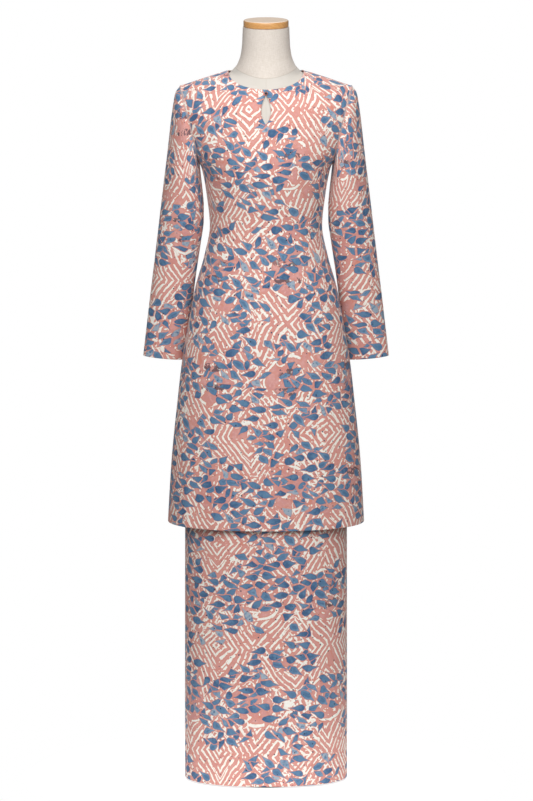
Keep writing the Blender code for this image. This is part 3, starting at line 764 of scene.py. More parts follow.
class Nodes:
    """Short names for the nodes of one material."""

    def __init__(self, name):
        self.material = bpy.data.materials.new(name)
        self.material.use_nodes = True
        self.tree = self.material.node_tree
        self.shader = self.tree.nodes["Principled BSDF"]

    def node(self, kind, inputs=(), **settings):
        node = self.tree.nodes.new("ShaderNode" + kind)
        for key, value in settings.items():
            setattr(node, key, value)
        for key, value in dict(inputs).items():
            self.give(node.inputs[key], value)
        return node

    def give(self, socket, value):
        if isinstance(value, Value):
            self.tree.links.new(value.output, socket)
        else:
            socket.default_value = value

    def math(self, operation, *values):
        node = self.node("Math", enumerate(values), operation=operation)
        return Value(node.outputs[0], self.math)

    def vector(self, operation, *values):
        """Arithmetic on vectors, where a plain number counts for all three parts."""
        spread = [(value,) * 3 if isinstance(value, float) else value for value in values]
        node = self.node("VectorMath", enumerate(spread), operation=operation)
        return Value(node.outputs[0], self.vector)

    def smallest(self, first, *others):
        for other in others:
            first = self.math("MINIMUM", first, other)
        return first

    def largest(self, first, *others):
        for other in others:
            first = self.math("MAXIMUM", first, other)
        return first

    def parts(self, vector):
        node = self.node("SeparateXYZ", {0: vector})
        return [Value(output, self.math) for output in node.outputs]

    def step(self, value, low, high):
        """Rises smoothly from 0 at low to 1 at high."""
        inputs = {"Value": value, "From Min": low, "From Max": high}
        node = self.node("MapRange", inputs, interpolation_type="SMOOTHSTEP")
        return Value(node.outputs["Result"], self.math)

    def noise(self, vector, scale, detail=1.0, rough=0.5, seed=0.0, three=False):
        """Noise from 0 to 1, as one number or as a vector of three."""
        moved = vector + (seed * 37.1, seed * 61.7, seed * 13.3)
        inputs = {"Vector": moved, "Scale": scale, "Detail": detail, "Roughness": rough}
        outputs = self.node("TexNoise", inputs).outputs
        return Value(outputs[1], self.vector) if three else Value(outputs[0], self.math)

    def blend(self, share, first, second):
        """The first colour, or the second as share rises to 1."""
        node = self.node("Mix", {0: share, 6: first, 7: second}, data_type="RGBA")
        return Value(node.outputs[2], self.vector)

    def mix(self, share, first, second):
        node = self.node("Mix", {0: share, 2: first, 3: second})
        return Value(node.outputs[0], self.math)

    def turn(self, vector, angle):
        node = self.node("VectorRotate", {"Vector": vector, "Angle": angle}, rotation_type="Z_AXIS")
        return Value(node.outputs[0], self.vector)

    def voronoi(self, vector, randomness, feature):
        inputs = {"Vector": vector, "Scale": 1.0, "Randomness": randomness}
        return self.node("TexVoronoi", inputs, voronoi_dimensions="2D", feature=feature).outputs

    def cells(self, vector, randomness):
        """How far each place of a flat net is from its cell's centre, the cell's chance colour and
        the centre."""
        outputs = self.voronoi(vector, randomness, "F1")
        colour, centre = (Value(outputs[name], self.vector) for name in ("Color", "Position"))
        return Value(outputs["Distance"], self.math), colour, centre

    def border(self, vector, randomness):
        """How far each place of the same net is from its cell's border."""
        return Value(self.voronoi(vector, randomness, "DISTANCE_TO_EDGE")["Distance"], self.math)

    def curve(self, value, points):
        node = self.node("FloatCurve", {"Value": value})
        line = node.mapping.curves[0]
        for _ in points[2:]:
            line.points.new(0.5, 0.5)
        for point, place in zip(line.points, points):
            point.location = place
        node.mapping.update()
        return Value(node.outputs[0], self.math)

    def map(self, name):
        return Value(self.node("UVMap", uv_map=name).outputs[0], self.vector)

    def attribute(self, name):
        return Value(self.node("Attribute", attribute_name=name).outputs["Fac"], self.math)

    def position(self):
        return Value(self.node("NewGeometry").outputs["Position"], self.vector)

    def bump(self, height, distance, strength):
        node = self.node("Bump", {"Height": height, "Distance": distance, "Strength": strength})
        return Value(node.outputs[0], self.vector)

    def finish(self, **values):
        for key, value in values.items():
            self.give(self.shader.inputs[key.replace("_", " ")], value)
        return self.material


# The print's colours and its sizes in millimetres.
ROSE = srgb(216, 158, 151)
ROSE_PALE = srgb(223, 173, 166)
ROSE_DEEP = srgb(207, 145, 140)
CREAM = srgb(247, 244, 236)
CREAM_SHADE = srgb(238, 231, 220)
RUST_GROUND = srgb(213, 145, 132)
RUST = srgb(212, 128, 104)
BLUE = srgb(94, 131, 164)
BLUE_LIGHT = srgb(130, 162, 188)
BLUE_DEEP = srgb(66, 99, 136)
BLUE_PALE = srgb(160, 174, 188)
NAVY = srgb(46, 58, 82)
SMUDGE = srgb(84, 72, 82)

LATTICE_WIDTH = 158.0
LATTICE_HEIGHT = 224.0
STROKE_SPACING = 10.76
STROKE_HALF_WIDTH = 0.8
HEART_REACH = 33.0
HEART_SPACING = 9.4
STEM_RADIUS = 47.0
STEM_HALF_WIDTH = 2.4
INNER_STEM_RADIUS = 34.0
INNER_STEM_HALF_WIDTH = 1.5
DASH_CELL = (10.0, 14.0)
DOT_CELL = 19.0
SMUDGE_WIDTH = 30.0
SMUDGE_HEIGHT = 8.0
SMUDGE_BELOW = 17.0
LEAF_GAP = 1.4

# Each layer of leaves: its lean, the length and width of a leaf's cell, and its seed.
FIRST_LEAVES = (0.35, 38.0, 21.0, 1.0)
SECOND_LEAVES = (-0.6, 32.0, 18.0, 2.0)
LEAF_DROP = [(0, 0.0), (0.06, 0.58), (0.24, 1.0), (0.42, 0.8), (0.64, 0.32), (0.82, 0.1), (1, 0.0)]
LEAF_KITE = [(0, 0.0), (0.34, 0.95), (0.42, 0.96), (0.7, 0.36), (1, 0.0)]


def leaf_bands(n, place):
    """Above zero where leaves grow: bands across the cloth between the rhombi's hearts, arching
    over the medallions, with stray patches."""
    x, y, _ = n.parts(place)
    arch = n.math("COSINE", x * (2 * math.pi / LATTICE_WIDTH)) * 15.0
    wave = n.math("COSINE", (y + arch) * (2 * math.pi / LATTICE_HEIGHT))
    stray = n.noise(place, 0.016, seed=3)
    return wave * -0.42 + (stray - 0.425) * 4.5


def leaf_layer(n, place, layer, wanted):
    """Leaves, one in each cell of a stretched net, grown where wanted is above zero at the cell's
    centre: how many millimetres inside a leaf each place is, the chance values of its cell, and
    its share of the leaf's length."""
    angle, length, width, seed = layer
    shift = (seed * 91.0, seed * 57.0, 0.0)
    shifted = n.turn(place, angle) + shift
    net = shifted * (1 / length, 1 / width, 0.0)
    _, colour, middle = n.cells(net, 0.9)
    chance = n.parts(colour)
    centre = middle * (length, width, 0.0)
    x, y, _ = n.parts(n.turn(shifted - centre, (chance[0] - 0.5) * 1.4))
    way = (chance[1] > 0.5) * 2.0 - 1.0
    half_length = chance[2] * 4.5 + length * 0.43
    along = x * way / half_length * 0.5 + 0.5
    outline = n.mix(chance[2] > 0.62, n.curve(along, LEAF_DROP), n.curve(along, LEAF_KITE))
    half_width = chance[1] * 2.4 + width * 0.31
    bent = y + (chance[0] - 0.5) * 11.0 * (along - 0.4) ** 2.0
    inside = n.smallest(outline * half_width - abs(bent), n.border(net, 0.9) * width - LEAF_GAP)
    kept = wanted(n, n.turn(centre - shift, -angle)) > 0.0
    return inside - (1.0 - kept) * 30.0, chance, along


def between_first_leaves(n, place):
    """Above zero in the bands of leaves where the first layer leaves room."""
    there, _, _ = leaf_layer(n, place, FIRST_LEAVES, leaf_bands)
    return n.smallest(leaf_bands(n, place), -3.0 - there)


def batik_print(n):
    """The print's colour at each place of the flat cloth."""
    mm = n.map("print") * 1000.0
    slow = n.noise(mm, 0.011, seed=1, three=True) - 0.5
    hand = n.noise(mm, 0.07, detail=2.0, seed=2, three=True) - 0.5
    rough = n.noise(mm, 0.22, seed=4, three=True) - 0.5
    wobble = hand * 5.0 + rough * 1.8
    drawn = mm + slow * 34.0 + wobble
    x, y, _ = n.parts(drawn)

    # Rhombi inside each other round every point of the lattice and round its half steps.
    across = n.math("PINGPONG", x / LATTICE_WIDTH, 0.5)
    up = n.math("PINGPONG", y / LATTICE_HEIGHT, 0.5)
    level = n.smallest(across + up, 1.0 - (across + up))
    distance = level / math.hypot(1 / LATTICE_WIDTH, 1 / LATTICE_HEIGHT)

    # Small nested squares at the rhombi's hearts.
    heart = across * (LATTICE_WIDTH * 0.70) + up * (LATTICE_HEIGHT * 0.58)
    in_heart = n.math("LESS_THAN", heart, HEART_REACH)
    spacing = STROKE_SPACING - in_heart * (STROKE_SPACING - HEART_SPACING)
    lines = in_heart * heart + (1.0 - in_heart) * distance
    from_line = spacing * 0.5 - n.math("PINGPONG", lines, spacing * 0.5)
    vary = n.noise(mm, 0.05, seed=5)
    bead = n.noise(mm, 0.17, seed=11)
    stroke = STROKE_HALF_WIDTH + (vary * 1.1 + bead * 1.3) - from_line
    gaps = n.noise(drawn, 0.11, seed=6)
    bare = n.noise(mm, 0.019, seed=7)
    stroke = n.smallest(stroke, (gaps - 0.385) * 22.0, (0.665 - bare) * 60.0)

    # A medallion at each half step: a thick cream stem round it, leaves and bare ground inside.
    ring_x = (0.5 - across) * LATTICE_WIDTH
    ring_y = (0.5 - up) * (LATTICE_HEIGHT * 0.9)
    reach = n.math("SQRT", ring_x**2.0 + ring_y**2.0)
    stem_gaps = n.noise(mm, 0.028, seed=8)
    stem = n.smallest(STEM_HALF_WIDTH - abs(reach - STEM_RADIUS), (stem_gaps - 0.46) * 60.0)
    inner = INNER_STEM_HALF_WIDTH - abs(reach - INNER_STEM_RADIUS)
    inner = n.smallest(inner, (0.44 - stem_gaps) * 60.0)
    cream = n.largest(n.smallest(stroke, reach - (STEM_RADIUS + 4.0)), stem, inner)

    # Leaves in two layers that lean opposite ways and keep clear of each other.
    leaf_place = mm + wobble * 0.42
    first, chance, along = leaf_layer(n, leaf_place, FIRST_LEAVES, leaf_bands)
    second, other, other_along = leaf_layer(n, leaf_place, SECOND_LEAVES, between_first_leaves)
    second = n.smallest(second, -LEAF_GAP - first)
    leaf = n.largest(first, second)
    cream = n.smallest(cream, -1.1 - leaf)

    # Curling cream stems, short dashes and dark dots between them.
    curl = n.noise(drawn, 0.034, seed=15)
    curl_gaps = n.noise(mm, 0.06, seed=16)
    curls = n.smallest(1.2 - abs(curl - 0.5) * 45.0, (curl_gaps - 0.46) * 40.0)
    curls = n.smallest(curls, leaf_bands(n, mm) * 12.0)
    cream = n.largest(cream, n.smallest(curls, -1.1 - leaf))
    dash_distance, dash_colour, _ = n.cells(drawn * (1 / DASH_CELL[0], 1 / DASH_CELL[1], 0.0), 0.9)
    dash = 2.3 - dash_distance * 12.0 - (n.parts(dash_colour)[0] > 0.75) * 20.0
    cream = n.largest(cream, n.smallest(dash, leaf * 0.35 + 4.6, -1.3 - leaf))
    dot_distance, dot_colour, _ = n.cells(leaf_place * (1 / DOT_CELL), 1.0)
    dot_chance, dot_size, _ = n.parts(dot_colour)
    dot = 0.7 + dot_size - dot_distance * DOT_CELL - (dot_chance > 0.5) * 20.0

    # A dark brown smudge low in some medallions.
    smudge = 1.0 - ((ring_x / SMUDGE_WIDTH) ** 2.0 + ((ring_y - SMUDGE_BELOW) / SMUDGE_HEIGHT) ** 2.0)
    patchy = n.noise(mm, 0.13, detail=2.0, seed=13)
    some = n.noise(mm, 0.007, seed=14)
    smudge = n.smallest(smudge * 8.0, (patchy - 0.46) * 30.0, (some - 0.5) * 40.0)

    # Colours, with the soft variation of hand dyeing.
    wash = n.noise(mm, 0.03, detail=3.0, seed=9)
    grain = n.noise(mm, 0.16, detail=3.0, seed=10)
    ground = n.blend(n.step(wash, 0.38, 0.62), ROSE_DEEP, ROSE)
    ground = n.blend(n.step(grain, 0.45, 0.75), ground, ROSE_PALE)
    drawing = n.largest(cream, leaf - 0.6)
    ground = n.blend(n.step(drawing, -5.0, -1.0) * 0.65, ground, RUST_GROUND)
    colour = n.blend(n.step(drawing, -1.4, -0.2) * 0.6, ground, RUST)
    cream_colour = n.blend(n.step(grain, 0.4, 0.7), CREAM, CREAM_SHADE)
    colour = n.blend(n.step(cream, -0.25, 0.3), colour, cream_colour)
    colour = n.blend(n.step(smudge, 0.0, 1.5) * 0.85, colour, SMUDGE)
    on_first = first > second
    tint = n.mix(on_first, other[0], chance[0])
    depth = tint * 0.45 + (grain * 0.6 + n.mix(on_first, other_along, along) * 0.35)
    blue = n.blend(n.step(depth, 0.35, 0.66), BLUE_DEEP, BLUE)
    blue = n.blend(n.step(depth, 0.66, 1.05), blue, BLUE_LIGHT)
    blue = n.blend(n.step(leaf, 2.6, 5.4) * n.step(tint, 0.5, 0.65) * 0.6, blue, BLUE_DEEP)
    blue = n.blend((1.0 - n.step(leaf, 0.2, 1.6)) * 0.4, blue, BLUE_DEEP)
    blue = n.blend(n.step(tint, 0.87, 0.93) * n.step(grain, 0.35, 0.55), blue, BLUE_PALE)
    colour = n.blend(n.step(leaf, -0.2, 0.25), colour, blue)
    return n.blend(n.step(dot, -0.2, 0.3), colour, NAVY)


def weave(n, pitch, height):
    """A plain weave with uneven threads, as bump on the flat cloth."""
    flat = n.map("flat")
    uneven = n.noise(flat * (1.0, 0.12, 0.0), 900.0, seed=11)
    other = n.noise(flat * (0.12, 1.0, 0.0), 900.0, seed=12)
    x, y, _ = n.parts(flat)
    warp = n.math("SINE", x * (2 * math.pi / pitch))
    weft = n.math("SINE", y * (2 * math.pi / pitch))
    return n.bump(warp * weft * 0.5 + (uneven * 1.2 + other * 1.2), height, 0.6)


def batik_material(name, fade):
    """The printed cloth; its inside is the same print, paler by fade."""
    n = Nodes(name)
    colour = batik_print(n)
    if fade:
        colour = n.blend(fade, colour, srgb(222, 196, 188))
    return n.finish(
        Base_Color=colour,
        Roughness=0.82,
        Normal=weave(n, 0.0007, 0.00006),
        Sheen_Weight=0.12,
        Sheen_Roughness=0.45,
        Specular_IOR_Level=0.28,
    )


def linen_material():
    """The form's cover: fine heathered linen on the neck, and paler cotton below its base seam."""
    n = Nodes("form_linen")
    flat = n.map("flat")
    above = n.attribute("above_neck_seam")
    mm = flat * 1000.0
    slub = n.noise(mm * (0.1, 1.0, 1.0), 1.3, detail=2.0, seed=1)
    warp = n.noise(mm * (1.0, 0.1, 1.0), 1.3, detail=2.0, seed=2)
    cloud = n.noise(mm, 0.02, detail=2.0, seed=3)
    threads = (slub + warp) * 0.5
    linen = n.blend(n.step(threads, 0.36, 0.64), srgb(211, 201, 190), srgb(223, 214, 205))
    fleck = n.noise(mm, 0.55, detail=2.0, seed=4)
    linen = n.blend(n.step(fleck, 0.58, 0.72) * 0.3, linen, srgb(198, 182, 166))
    cotton = n.blend(n.step(cloud, 0.35, 0.65), srgb(208, 202, 193), srgb(212, 206, 198))
    share = 1.0 - n.step(above, -0.0002, 0.0002)
    colour = n.blend(share, linen, cotton)
    seam = n.step(above, -0.0011, -0.0002) * (1.0 - n.step(above, 0.0001, 0.0010))
    upright = (1.0 - n.step(abs(n.parts(flat)[0]), 0.0002, 0.0009)) * share
    # Painted shade: the neck seam and the upright front seam are darkened as if shadowed in their grooves,
    # which the bump also sinks.
    shaded_seam_groove = n.largest(seam, upright * 0.6)
    colour = n.blend(shaded_seam_groove * 0.35, colour, srgb(168, 150, 132))
    return n.finish(
        Base_Color=colour,
        Roughness=0.9,
        Normal=n.bump(threads * (1.0 - share * 0.7) - shaded_seam_groove * 2.0, 0.00018, 0.8),
        Sheen_Weight=0.1,
        Specular_IOR_Level=0.2,
    )


def wood_material():
    """The neck cap: straight grain, varnished on its edge and matt on top, with the top partly painted paler
    as if lit from above.
    """
    n = Nodes("cap_wood")
    mm = n.map("flat") * 1000.0
    on_edge = n.step(n.attribute("on_edge"), 0.3, 0.7)
    bent = mm + n.noise(mm, 0.03, seed=1, three=True) * 9.0
    grain = n.noise(bent * (0.03, 1.0, 1.0), 0.9, detail=4.0, rough=0.6, seed=2)
    pores = n.noise(mm * (0.05, 1.0, 1.0), 4.0, detail=2.0, seed=3)
    # The top is painted paler than the edge. This is partly painted light from above and partly matt wood set
    # against the varnished edge.
    top = n.blend(n.step(grain, 0.35, 0.65), srgb(212, 187, 162), srgb(222, 199, 176))
    side = n.blend(n.step(grain, 0.35, 0.65), srgb(205, 146, 84), srgb(226, 172, 108))
    colour = n.blend(on_edge, top, side)
    return n.finish(
        Base_Color=n.blend(n.step(pores, 0.6, 0.75) * 0.25, colour, srgb(150, 105, 66)),
        Roughness=0.62 - on_edge * 0.34,
        Coat_Weight=0.5,
        Coat_Roughness=0.2,
        Normal=n.bump(grain + pores * 0.4, 0.00012, 0.5),
    )


def metal_material():
    n = Nodes("stand_metal")
    speck = n.noise(n.position(), 2600.0, detail=2.0, seed=1)
    smear = n.noise(n.position(), 60.0, detail=3.0, seed=2)
    return n.finish(
        Base_Color=n.blend(n.step(smear, 0.35, 0.7), srgb(52, 52, 55), srgb(66, 66, 69)),
        Metallic=0.75,
        Roughness=0.34 + smear * 0.16,
        Normal=n.bump(speck, 0.00008, 0.5),
    )


def elastic_material():
    n = Nodes("waist_elastic")
    mm = n.map("flat") * 1000.0
    x, y, _ = n.parts(mm)
    ribs = n.math("SINE", y * (2 * math.pi / 1.6))
    knit = n.math("SINE", x * (2 * math.pi / 0.9))
    dye = n.noise(mm, 0.08, detail=3.0, seed=1)
    return n.finish(
        Base_Color=n.blend(n.step(dye, 0.35, 0.65), srgb(190, 112, 110), srgb(206, 134, 128)),
        Roughness=0.88,
        Normal=n.bump(ribs + knit * 0.5, 0.0002, 0.6),
        Sheen_Weight=0.15,
    )


def bead_material():
    n = Nodes("closure_bead")
    cloud = n.noise(n.position(), 900.0, detail=2.0, seed=1)
    colour = n.blend(n.step(cloud, 0.3, 0.7), srgb(33, 34, 46), srgb(58, 60, 78))
    return n.finish(Base_Color=colour, Roughness=0.3, Normal=n.bump(cloud, 0.00004, 0.4))


def thread_material():
    n = Nodes("closure_thread")
    x, y, _ = n.parts(n.map("flat"))
    twist = n.math("SINE", x * (2 * math.pi / 0.0011) + y * (2 * math.pi / 0.0019))
    colour = n.blend(n.step(twist, -0.6, 0.6), srgb(176, 92, 74), srgb(222, 140, 112))
    bump = n.bump(twist, 0.00012, 0.8)
    return n.finish(Base_Color=colour, Roughness=0.7, Normal=bump, Sheen_Weight=0.2)


def stage_material():
    n = Nodes("studio_floor")
    cloud = n.noise(n.position(), 2.0)
    return n.finish(
        Base_Color=n.blend(n.step(cloud, 0.3, 0.7), srgb(206, 206, 206), srgb(209, 209, 209)),
        Roughness=0.9,
        Specular_IOR_Level=0.1,
        Emission_Color=WHITE,
        Emission_Strength=0.78,
    )


# Solids of rings.
def closed_rings(name, rings, material, sharp=None):
    """A closed solid through rings with the same number of points, shut at both ends."""
    rows, columns = len(rings), len(rings[0])
    first = list(range(columns))[::-1]
    last = list(range((rows - 1) * columns, rows * columns))
    faces = ring_faces(rows, columns).tolist() + [first, last]
    return smooth_mesh(name, rings, faces, [material], sharp=sharp)


def circle(radius, centre_y, z, sides):
    turn = np.linspace(0, 2 * math.pi, sides, endpoint=False)
    return np.stack([radius * np.cos(turn), centre_y + radius * np.sin(turn), np.full_like(turn, z)], axis=-1)


def turned(name, profile, centre_y, material, sharp):
    """A turned solid from the radius and the height of each of its rings."""
    rings = [circle(radius, centre_y, z, TURNED_SIDES) for radius, z in profile]
    return closed_rings(name, rings, material, sharp)


def rounded(radius, bottom, top, low_edge, high_edge, steps=6):
    """The profile of a disc with rounded rims, from its middle underneath to its middle on top."""
    turns = np.linspace(0, math.pi / 2, steps)
    profile = [(s * (radius - low_edge), bottom) for s in (0.02, 0.35, 0.7)]
    for turn in turns:
        profile.append((radius - low_edge * (1 - math.sin(turn)), bottom + low_edge * (1 - math.cos(turn))))
    for turn in turns:
        profile.append((radius - high_edge * (1 - math.cos(turn)), top - high_edge * (1 - math.sin(turn))))
    profile += [(s * (radius - high_edge), top) for s in (0.9, 0.6, 0.3, 0.02)]
    return profile


def full_ring(table, z, columns, shrink=0.0):
    """A closed ring at height z from the middle front round by the left side, taken in by shrink."""
    half_width, front, back, side_y, power = (float(c) for c in curve_through(table, z))
    turn = np.linspace(0, 2 * math.pi, columns, endpoint=False)
    sine = np.sin(turn)
    cosine = np.cos(turn)
    at_front = cosine >= 0
    x = (half_width - shrink) * np.sign(sine) * np.abs(sine) ** (2 / power)
    depth = np.where(at_front, side_y + front, back - side_y) - shrink
    y = side_y + np.where(at_front, -1, 1) * depth * np.abs(cosine) ** (2 / power)
    return np.stack([x, y, np.full_like(x, z)], axis=-1)


def map_by_place(thing, place):
    """A flat map from a function of each vertex's place."""
    mesh = thing.data
    points = np.empty(len(mesh.vertices) * 3, np.float32)
    mesh.vertices.foreach_get("co", points)
    corner = np.empty(len(mesh.loops), np.int32)
    mesh.loops.foreach_get("vertex_index", corner)
    add_map(thing, "flat", place(points.reshape(-1, 3))[corner])
    return points.reshape(-1, 3)


def add_value(thing, name, values):
    layer = thing.data.attributes.new(name, "FLOAT", "POINT")
    layer.data.foreach_set("value", np.asarray(values, np.float32))


def piece(thing, slot, *nodes):
    """Hangs a finished piece on the root and hides the model's parts for the nodes it stands for; slot is not
    used.
    """
    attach(thing, "root")
    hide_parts(*nodes)
    return thing


def neck_seam_z(x, y):
    """The seam round the base of the neck dips at the front and rises to the sides."""
    rise = np.clip(np.abs(x) / NECK_SEAM_REACH, 0, 1.2)
    return np.where(y < 0, 1.484, 1.490) + np.where(y < 0, 0.016, 0.010) * rise**2


def dress_form():
    """The covered torso with its neck, and the wooden cap on top."""
    heights = np.concatenate(
        [np.linspace(FORM_BOTTOM_Z, 0.80, 14)[:-1], np.linspace(0.80, FORM_TOP_Z, 190)]
    )
    rings = [full_ring(FORM, z, FORM_COLUMNS) for z in heights]
    form = closed_rings("form_torso_shell", rings, linen_material(), sharp=50)

    def unrolled(points):
        turn = np.arctan2(points[:, 0], -(points[:, 1] - NECK_CENTRE_Y))
        radius = np.where(points[:, 2] > FORM_NECK_Z, FORM_NECK_RADIUS, FORM_CHEST_RADIUS)
        return np.stack([turn * radius, points[:, 2]], axis=-1)

    points = map_by_place(form, unrolled)
    add_value(form, "above_neck_seam", points[:, 2] - neck_seam_z(points[:, 0], points[:, 1]))
    piece(form, "form_linen", "form_torso")

    profile = rounded(CAP_RADIUS, FORM_TOP_Z + SEAM_GAP, CAP_TOP_Z, CAP_LOW_EDGE, CAP_HIGH_EDGE)
    cap = turned("neck_cap_turned", profile, NECK_CENTRE_Y, wood_material(), 60)
    points = map_by_place(cap, lambda p: np.stack([p[:, 0] + 0.3 * p[:, 2], p[:, 1] + p[:, 2]], axis=-1))
    add_value(cap, "on_edge", ease((CAP_TOP_Z - 0.0006 - points[:, 2]) / 0.0012))
    piece(cap, "cap_wood", "form_neck_cap")


def stand():
    """The steel pole with a flange at each end, and its round base."""
    metal = metal_material()
    low = BASE_THICKNESS + SEAM_GAP
    high = FORM_BOTTOM_Z - SEAM_GAP
    flange = rounded(POLE_FLANGE_RADIUS, low, low + FLANGE_THICKNESS, 0.0006, 0.0015)[:-4]
    steps = (0.8, 0.5, 0.25, 0.0)
    collar = [(POLE_RADIUS + COLLAR_FLARE * s * s, low + FLANGE_THICKNESS * (2 - s)) for s in steps]
    lower = flange + collar
    ends = (low + 2 * FLANGE_THICKNESS, high - 2 * FLANGE_THICKNESS)
    tube = [(POLE_RADIUS, z) for z in np.linspace(*ends, 12)[1:-1]]
    upper = [(radius, low + high - z) for radius, z in reversed(lower)]
    piece(turned("pole_turned", lower + tube + upper, 0.0, metal, 40), "stand_metal", "form_pole")
    base = rounded(BASE_RADIUS, 0.0, BASE_THICKNESS, 0.0008, 0.0035)
    piece(turned("base_turned", base, 0.0, metal, 40), "stand_metal", "form_base")


def waistband():
    """A ribbed elastic band, gathered into small waves round its ring."""
    material = elastic_material()
    heights = np.linspace(SKIRT_TOP_Z + SEAM_GAP, WAISTBAND_TOP_Z, 15)
    turn = np.linspace(0, 2 * math.pi, BAND_COLUMNS, endpoint=False)
    ripple = 0.00035 * np.sin(96 * turn + 0.8 * np.sin(5 * turn))
    rings = []
    for shrink, order in ((0.0, heights), (BAND_CLOTH, heights[::-1])):
        for z in order:
            ring = full_ring(WAISTBAND, z, BAND_COLUMNS, shrink)
            level = (z - heights[0]) / (heights[-1] - heights[0])
            bulge = 0.0006 * math.sin(math.pi * level)
            outward = unit(ring * np.array([1.0, 1.0, 0.0]))
            way = 1 if shrink == 0.0 else 0.4
            rings.append(ring + outward * (ripple * way + bulge - 0.0004)[:, None])
    rings = np.asarray(rings)
    faces = ring_faces(len(rings), BAND_COLUMNS, closed=True)
    band = smooth_mesh("waistband_ribbed", rings, faces.tolist(), [material], sharp=50)
    around = np.linspace(0, WAISTBAND_LENGTH, BAND_COLUMNS, endpoint=False)
    places = np.stack(np.broadcast_arrays(around[None, :], rings[..., 2]), axis=-1).reshape(-1, 2)
    add_map(band, "flat", places[faces.ravel()])
    piece(band, "waist_elastic", "skirt_waistband")
    return band


def closure():
    """The bead and its thread loop, just in front of the top of the keyhole."""
    z = np.array([KEYHOLE_TOP_Z + 0.0015])
    front, out = (found[0] for found in surface(TUNIC, np.array([0.0]), z, -1))
    across = np.array([1.0, 0.0, 0.0])
    up = np.cross(out, across)
    middle = front + out * (BUTTON_RADIUS + SEAM_GAP)
    rings = []
    around = np.linspace(0, 2 * math.pi, 40, endpoint=False)[:, None]
    for turn in np.linspace(0.03, math.pi - 0.03, 24):
        reach = across * np.cos(around) + out * np.sin(around)
        rings.append(middle + reach * BUTTON_RADIUS * math.sin(turn) + up * BUTTON_RADIUS * math.cos(turn))
    bead = closed_rings("neck_bead", rings, bead_material())
    piece(bead, "closure_bead", "neck_button")

    centre = front + out * (LOOP_CORD_RADIUS * 1.5 + SEAM_GAP)
    turns = np.linspace(0, 2 * math.pi, 96, endpoint=False)[:, None, None]
    sides = np.linspace(0, 2 * math.pi, 14, endpoint=False)[None, :, None]
    reach = across * np.cos(turns) + up * np.sin(turns)
    ply = 1 + 0.12 * np.cos(2 * sides + 18 * turns)
    cord = centre + reach * (LOOP_RADIUS + LOOP_CORD_RADIUS * ply * np.cos(sides))
    cord = cord + out * LOOP_CORD_RADIUS * ply * np.sin(sides)
    rows, columns = cord.shape[:2]
    quads = ring_faces(rows, columns, closed=True)
    if shell_volume(cord.reshape(-1, 3), quads) < 0:
        quads = quads[:, ::-1]
    loop = smooth_mesh("neck_thread_loop", cord, quads.tolist(), [thread_material()])
    lengths = np.arange(rows) / rows * LOOP_LENGTH
    grid = np.meshgrid(lengths, np.arange(columns) / columns * LOOP_CORD_ROUND, indexing="ij")
    add_map(loop, "flat", np.stack(grid, axis=-1).reshape(-1, 2)[quads.ravel()])
    piece(loop, "closure_thread", "neck_loop")
    return bead, loop


def garment():
    """All the cloth and the closure, and how each sheet is cut."""
    cloth = [batik_material("batik_cloth", 0.0), batik_material("batik_cloth_inside", 0.45)]
    bead, loop = closure()
    made = []

    def cloth_piece(name, node, sheets, print_at, rests_on, with_pieces=()):
        shell = cloth_shell(f"{name}_shell", sheets, print_at, cloth)
        piece(shell[0], "batik_cloth", node)
        made.append((*shell, rests_on, list(with_pieces)))

    halves = []
    for name, side, neck_z, keyhole, scoop, creases, print_at in (
        ("front", -1, FRONT_NECK_Z, True, FRONT_ARMHOLE_SCOOP, TUNIC_FRONT_CREASES, (0.034, 0.02)),
        ("back", 1, BACK_NECK_Z, False, BACK_ARMHOLE_SCOOP, TUNIC_BACK_CREASES, (1.204, 0.07)),
    ):
        sides = [tunic_half(side, neck_z, keyhole, scoop, creases, mirror) for mirror in (-1, 1)]
        sheets = [sheet for sheet, _ in sides]
        closed_by = [bead, loop] if keyhole else []
        cloth_piece(f"tunic_{name}", f"baju_{name}", sheets, print_at, ["form_torso_shell"], closed_by)
        halves.append(sheets[-1])
    sleeve = sleeve_halves(*halves, sides[-1][1])
    armholes = ["tunic_front_shell", "tunic_back_shell"]
    for name, mirror, print_at in (("left", 1, (2.4, 0.11)), ("right", -1, (3.17, 0.05))):
        cloth_piece(f"sleeve_{name}", f"sleeve_{name}", sleeve_sheets(sleeve, mirror), print_at, armholes)
    for name, side, creases, print_at in (
        ("front", -1, SKIRT_FRONT_CREASES, (4.051, 0.155)),
        ("back", 1, SKIRT_BACK_CREASES, (5.22, 0.045)),
    ):
        sheets = [skirt_half(side, creases, mirror) for mirror in (-1, 1)]
        cloth_piece(f"skirt_{name}", f"skirt_{name}", sheets, print_at, ["waistband_ribbed"])
    band = waistband()
    for thing, width, length, area, rests_on, with_pieces in made:
        min(area, width * length)


AMBIENT = 0.18
WHITE = (1.0, 1.0, 1.0, 1.0)
LIT_AT = (0.0, 0.0, 1.1)
LIGHTS = [
    # Name, place, diameter and watts.
    ("key", (-0.7, -2.8, 2.9), 2.4, 63.0),
    ("fill", (0.8, -2.8, 2.7), 2.4, 54.0),
    ("top", (0.0, -0.6, 4.6), 3.0, 26.0),
    ("back", (0.0, 3.4, 4.6), 2.4, 80.0),
]


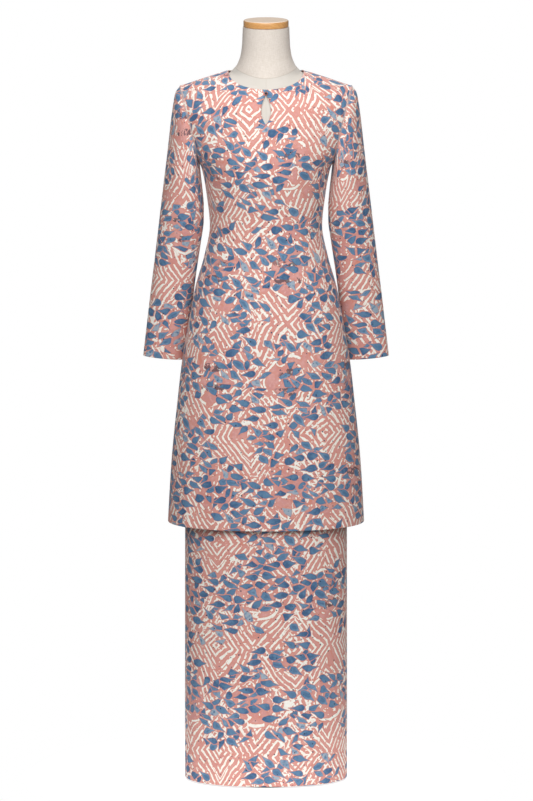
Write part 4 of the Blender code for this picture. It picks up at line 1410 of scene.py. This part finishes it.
def aimed(name, data, place, target):
    """Puts a lamp or a camera at a place, turned to face the target."""
    thing = bpy.data.objects.new(name, data)
    thing.location = place
    thing.rotation_euler = (Vector(target) - Vector(place)).to_track_quat("-Z", "Y").to_euler()
    bpy.context.scene.collection.objects.link(thing)
    return thing


def studio():
    """A small pale floor, white all round, and four soft lamps."""
    rings = [circle(radius, 0.0, 0.0, FLOOR_SIDES) for radius in (0.01, 0.2, 0.35, 0.5)]
    faces = ring_faces(len(rings), FLOOR_SIDES)[:, ::-1].tolist() + [list(range(FLOOR_SIDES))]
    smooth_mesh("studio_floor", rings, faces, [stage_material()])

    world = bpy.data.worlds.new("studio")
    world.use_nodes = True
    tree = world.node_tree
    glow = tree.nodes["Background"]
    glow.inputs["Color"].default_value = WHITE
    glow.inputs["Strength"].default_value = AMBIENT
    shown = tree.nodes.new("ShaderNodeBackground")
    shown.inputs["Color"].default_value = WHITE
    choice = tree.nodes.new("ShaderNodeMixShader")
    seen = tree.nodes.new("ShaderNodeLightPath")
    tree.links.new(seen.outputs["Is Camera Ray"], choice.inputs[0])
    tree.links.new(glow.outputs[0], choice.inputs[1])
    tree.links.new(shown.outputs[0], choice.inputs[2])
    tree.links.new(choice.outputs[0], tree.nodes["World Output"].inputs["Surface"])
    bpy.context.scene.world = world

    for name, place, size, energy in LIGHTS:
        light = bpy.data.lights.new(name, "AREA")
        light.shape = "DISK"
        light.size = size
        light.energy = energy
        aimed(name, light, place, LIT_AT)


def camera():
    """Twenty metres away, looking a little down, as long lenses do in catalogues."""
    distance = 20.0
    pitch = math.radians(9.6)
    target = Vector((0.001, 0.0, 0.8006))
    lens = bpy.data.cameras.new("camera")
    lens.lens = 432.0
    lens.sensor_width = 36.0
    lens.clip_start = 1.0
    lens.clip_end = 200.0
    place = target + Vector((0, -math.cos(pitch), math.sin(pitch))) * distance
    bpy.context.scene.camera = aimed("camera", lens, place, target)
    bpy.context.scene.view_settings.view_transform = "Standard"


garment()
dress_form()
stand()
studio()
camera()
